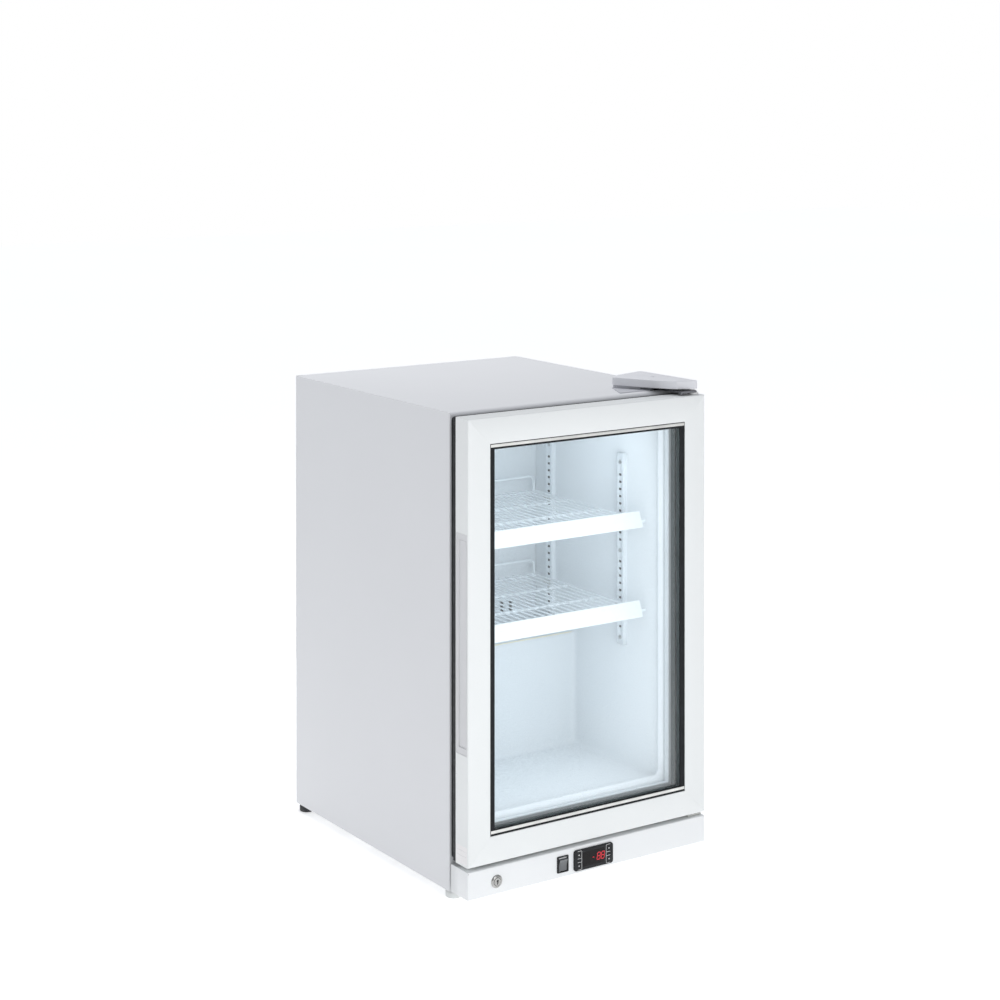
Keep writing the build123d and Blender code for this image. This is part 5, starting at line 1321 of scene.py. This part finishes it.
def fan(name, body, blades):
    """Axial fan: a domed hub, and blades whose pitch eases from root to tip and whose edges are swept."""
    low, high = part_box(name)
    centre = (low + high) / 2
    radius, depth = (high.z - low.z) / 2 / 0.99, (high.y - low.y) / 2
    hub = radius * 0.24
    profile = [(3.05 * MM, depth * 0.8), (hub, depth * 0.8), (hub, -depth * 0.4), (hub * 0.9, -depth * 0.75),
               (hub * 0.5, -depth * 0.95), (3.05 * MM, -depth), (3.05 * MM, depth * 0.8)]
    shapes = [lathe(profile, centre, "y", 32)]
    out, along = np.meshgrid(np.linspace(0, 1, 12), np.linspace(-1, 1, 10), indexing="ij")
    r = hub * 0.9 + (radius * 0.985 - hub * 0.9) * out
    angle = along * (0.50 + 0.10 * out) * (2 * pi / blades) * 0.62 + 0.25 * out ** 2
    pitch = along * depth * (0.80 - 0.25 * out) + 0.12 * depth * (1 - along ** 2)
    rows = np.stack([r * np.cos(angle), pitch, r * np.sin(angle)], -1)
    skin = np.array([0, 0.7 * MM, 0])
    outline = np.concatenate([rows + skin, (rows - skin)[:, ::-1]], 1)
    blade = surface(outline)
    for i in range(blades):
        shapes.append(moved(turned(blade, "y", 2 * pi * i / blades, (0, 0, 0)), *centre))
    piece(f"{name}_moulding", body, of(fan_nylon, *shapes), replaces=(name,))


def lamp():
    """Strip lamp under the ceiling: a shallow housing and a ribbed, rounded lens."""
    low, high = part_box("interior_lamp")
    seat = high.z - 5 * MM
    housing = rounded([(low.y, high.z), (low.y, seat), (high.y, seat), (high.y, high.z)],
                      [0.1 * MM, 1.2 * MM, 1.2 * MM, 0.1 * MM], 4)
    turn = np.linspace(pi, 2 * pi, 25)
    middle = (low.y + high.y) / 2
    depth = 5 * MM + 0.12 * MM * np.cos(turn * 24)
    bow = np.stack([middle + 8 * MM * np.cos(turn), seat + depth * np.sin(turn)], 1)
    piece("interior_lamp_strip", "cabinet",
          of(strip_plastic, prism("x", housing, low.x, high.x))
          + of(lamp_lens, prism("x", bow, low.x + 2 * MM, high.x - 2 * MM)), replaces=("interior_lamp",))


# ---- carried-over CAD nodes ---------------------------------------------------------------------------
def finish_cad_nodes():
    """CAD pieces whose shape is right as it is take a worked finish."""
    finishes = {
        "insulation_foam": foam, "machine_bulkhead": zinc_coat, "base_pan": zinc_coat,
        "evaporator_cover": liner_plastic, "evaporator_coil": fin_aluminium, "condenser_coil": fin_aluminium,
        "evaporator_fan_motor": motor_paint, "condenser_fan_motor": motor_paint,
        "temperature_probe": black_mould, "compressor": enamel, "compressor_grommets": seal_rubber,
        "condensate_tray": tray_plastic, "drain_tube": tray_plastic, "refrigerant_line": copper,
        "power_inlet": black_mould, "lock_cam": nickel, "top_hinge_bracket": dark_zinc,
        "bottom_hinge_bracket": bright_zinc, "door_corner_keys": bright_zinc,
    }
    for name, material in finishes.items():
        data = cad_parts[name].data
        data.materials.clear()
        data.materials.append(material)


# ---- studio -------------------------------------------------------------------------------------------
def studio():
    """A pale floor and soft light: a broad panel before the door, one above, a pale surround, and inside the
    cold space a glow under its lamp and a weak fill behind the glass."""
    floor = bpy.data.meshes.new("studio_floor")
    reach = 12.0
    floor.from_pydata([(-reach, -reach, 0), (reach, -reach, 0), (reach, reach, 0), (-reach, reach, 0)], [],
                      [(0, 1, 2, 3)])
    floor_paint = finish(
        "studio_floor_paint",
        Base_Color=lambda at: at.noise(0.6, 2).ramp(0.3, 0.7).blend(
            (0.955, 0.955, 0.955), (0.97, 0.97, 0.97)),
        Roughness=0.8, Emission_Color=(1.0, 1.0, 1.0), Emission_Strength=0.50)
    floor.materials.append(floor_paint)
    ground = bpy.data.objects.new("studio_floor", floor)
    bpy.context.scene.collection.objects.link(ground)
    world = bpy.data.worlds.new("studio_surround")
    world.use_nodes = True
    tree = world.node_tree
    surround, backdrop = tree.nodes["Background"], tree.nodes.new("ShaderNodeBackground")
    upwards = Reading(tree, tree.nodes.new("ShaderNodeTexCoord").outputs["Generated"]).part("Z")
    sky = upwards.ramp(0.15, 0.95).blend((0.42, 0.425, 0.435), (0.56, 0.58, 0.62))
    tree.links.new(sky.socket, surround.inputs["Color"])
    surround.inputs["Strength"].default_value = 1.0
    backdrop.inputs["Color"].default_value = (1.0, 1.0, 1.0, 1)
    backdrop.inputs["Strength"].default_value = 1.0
    seen, mixed = tree.nodes.new("ShaderNodeLightPath"), tree.nodes.new("ShaderNodeMixShader")
    tree.links.new(seen.outputs["Is Camera Ray"], mixed.inputs[0])
    tree.links.new(surround.outputs[0], mixed.inputs[1])
    tree.links.new(backdrop.outputs[0], mixed.inputs[2])
    tree.links.new(mixed.outputs[0], tree.nodes["World Output"].inputs["Surface"])
    bpy.context.scene.world = world
    bpy.context.scene.view_settings.view_transform = "Standard"
    lamp_low, lamp_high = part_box("interior_lamp")
    under_lamp = (0, (lamp_low.y + lamp_high.y) / 2, lamp_low.z - 4 * MM)
    mouth = (0, front - 20 * MM, (floor_level + ceiling) / 2)
    for name, place, aim, size, power in (
            ("front_panel", (-0.17, -1.15, 0.46), (-0.17, front, 0.46), (0.30, 0.80), 2.05),
            ("overhead_panel", (0.1, 0.75, 2.2), (0, 0.1, 0.7), (1.0, 1.0), 14),
            ("lamp_glow", under_lamp, (0, front + 0.44, floor_level + 0.3), (0.28, 0.02), 0.13),
            ("cold_space_fill", mouth, (0, 1, mouth[2]), (0.35, 0.57), 0.72)):
        lamp_data = bpy.data.lights.new(name, "AREA")
        lamp_data.shape, lamp_data.energy = "RECTANGLE", power
        lamp_data.size, lamp_data.size_y = size
        light = bpy.data.objects.new(name, lamp_data)
        light.location = place
        light.rotation_euler = (Vector(aim) - Vector(place)).to_track_quat("-Z", "Y").to_euler()
        light.visible_camera = False
        if name in ("cold_space_fill", "lamp_glow"):
            lamp_data.color = (0.88, 0.945, 1.0)
            light.visible_glossy = False
        bpy.context.scene.collection.objects.link(light)


def camera():
    """The eye stands level, to the left of the door and above the cabinet. The lens is shifted down to frame
    it, so upright edges stay upright."""
    turn, lens, drop = 0.591972, 77.484, 0.424477
    data = bpy.data.cameras.new("camera")
    data.lens, data.sensor_width, data.shift_y = lens, 36.0, -drop
    eye = bpy.data.objects.new("camera", data)
    eye.location = (-1.959910, -2.928829, 1.233806)
    eye.rotation_euler = (pi / 2, 0, -turn)
    bpy.context.scene.collection.objects.link(eye)
    bpy.context.scene.camera = eye


camera()
studio()
side_panels()
top_panel()
back_panel()
rear_grille()
inner_liner()
cover_flanges()
throat_frame()
pilasters()
screws()
shelf_clips()
for name in shelf_nodes:
    shelf(name)
    ticket_strip(name)
door_rails()
door_stiles()
handle_insert()
door_label()
glazing()
door_seals()
door_fittings()
hinge_cover()
kick_panel()
lock()
switch()
controller()
key_brackets()
display()
feet()
fan("evaporator_fan_blade", "evaporator_fan", 5)
fan("condenser_fan_blade", "condenser_fan", 5)
lamp()
finish_cad_nodes()
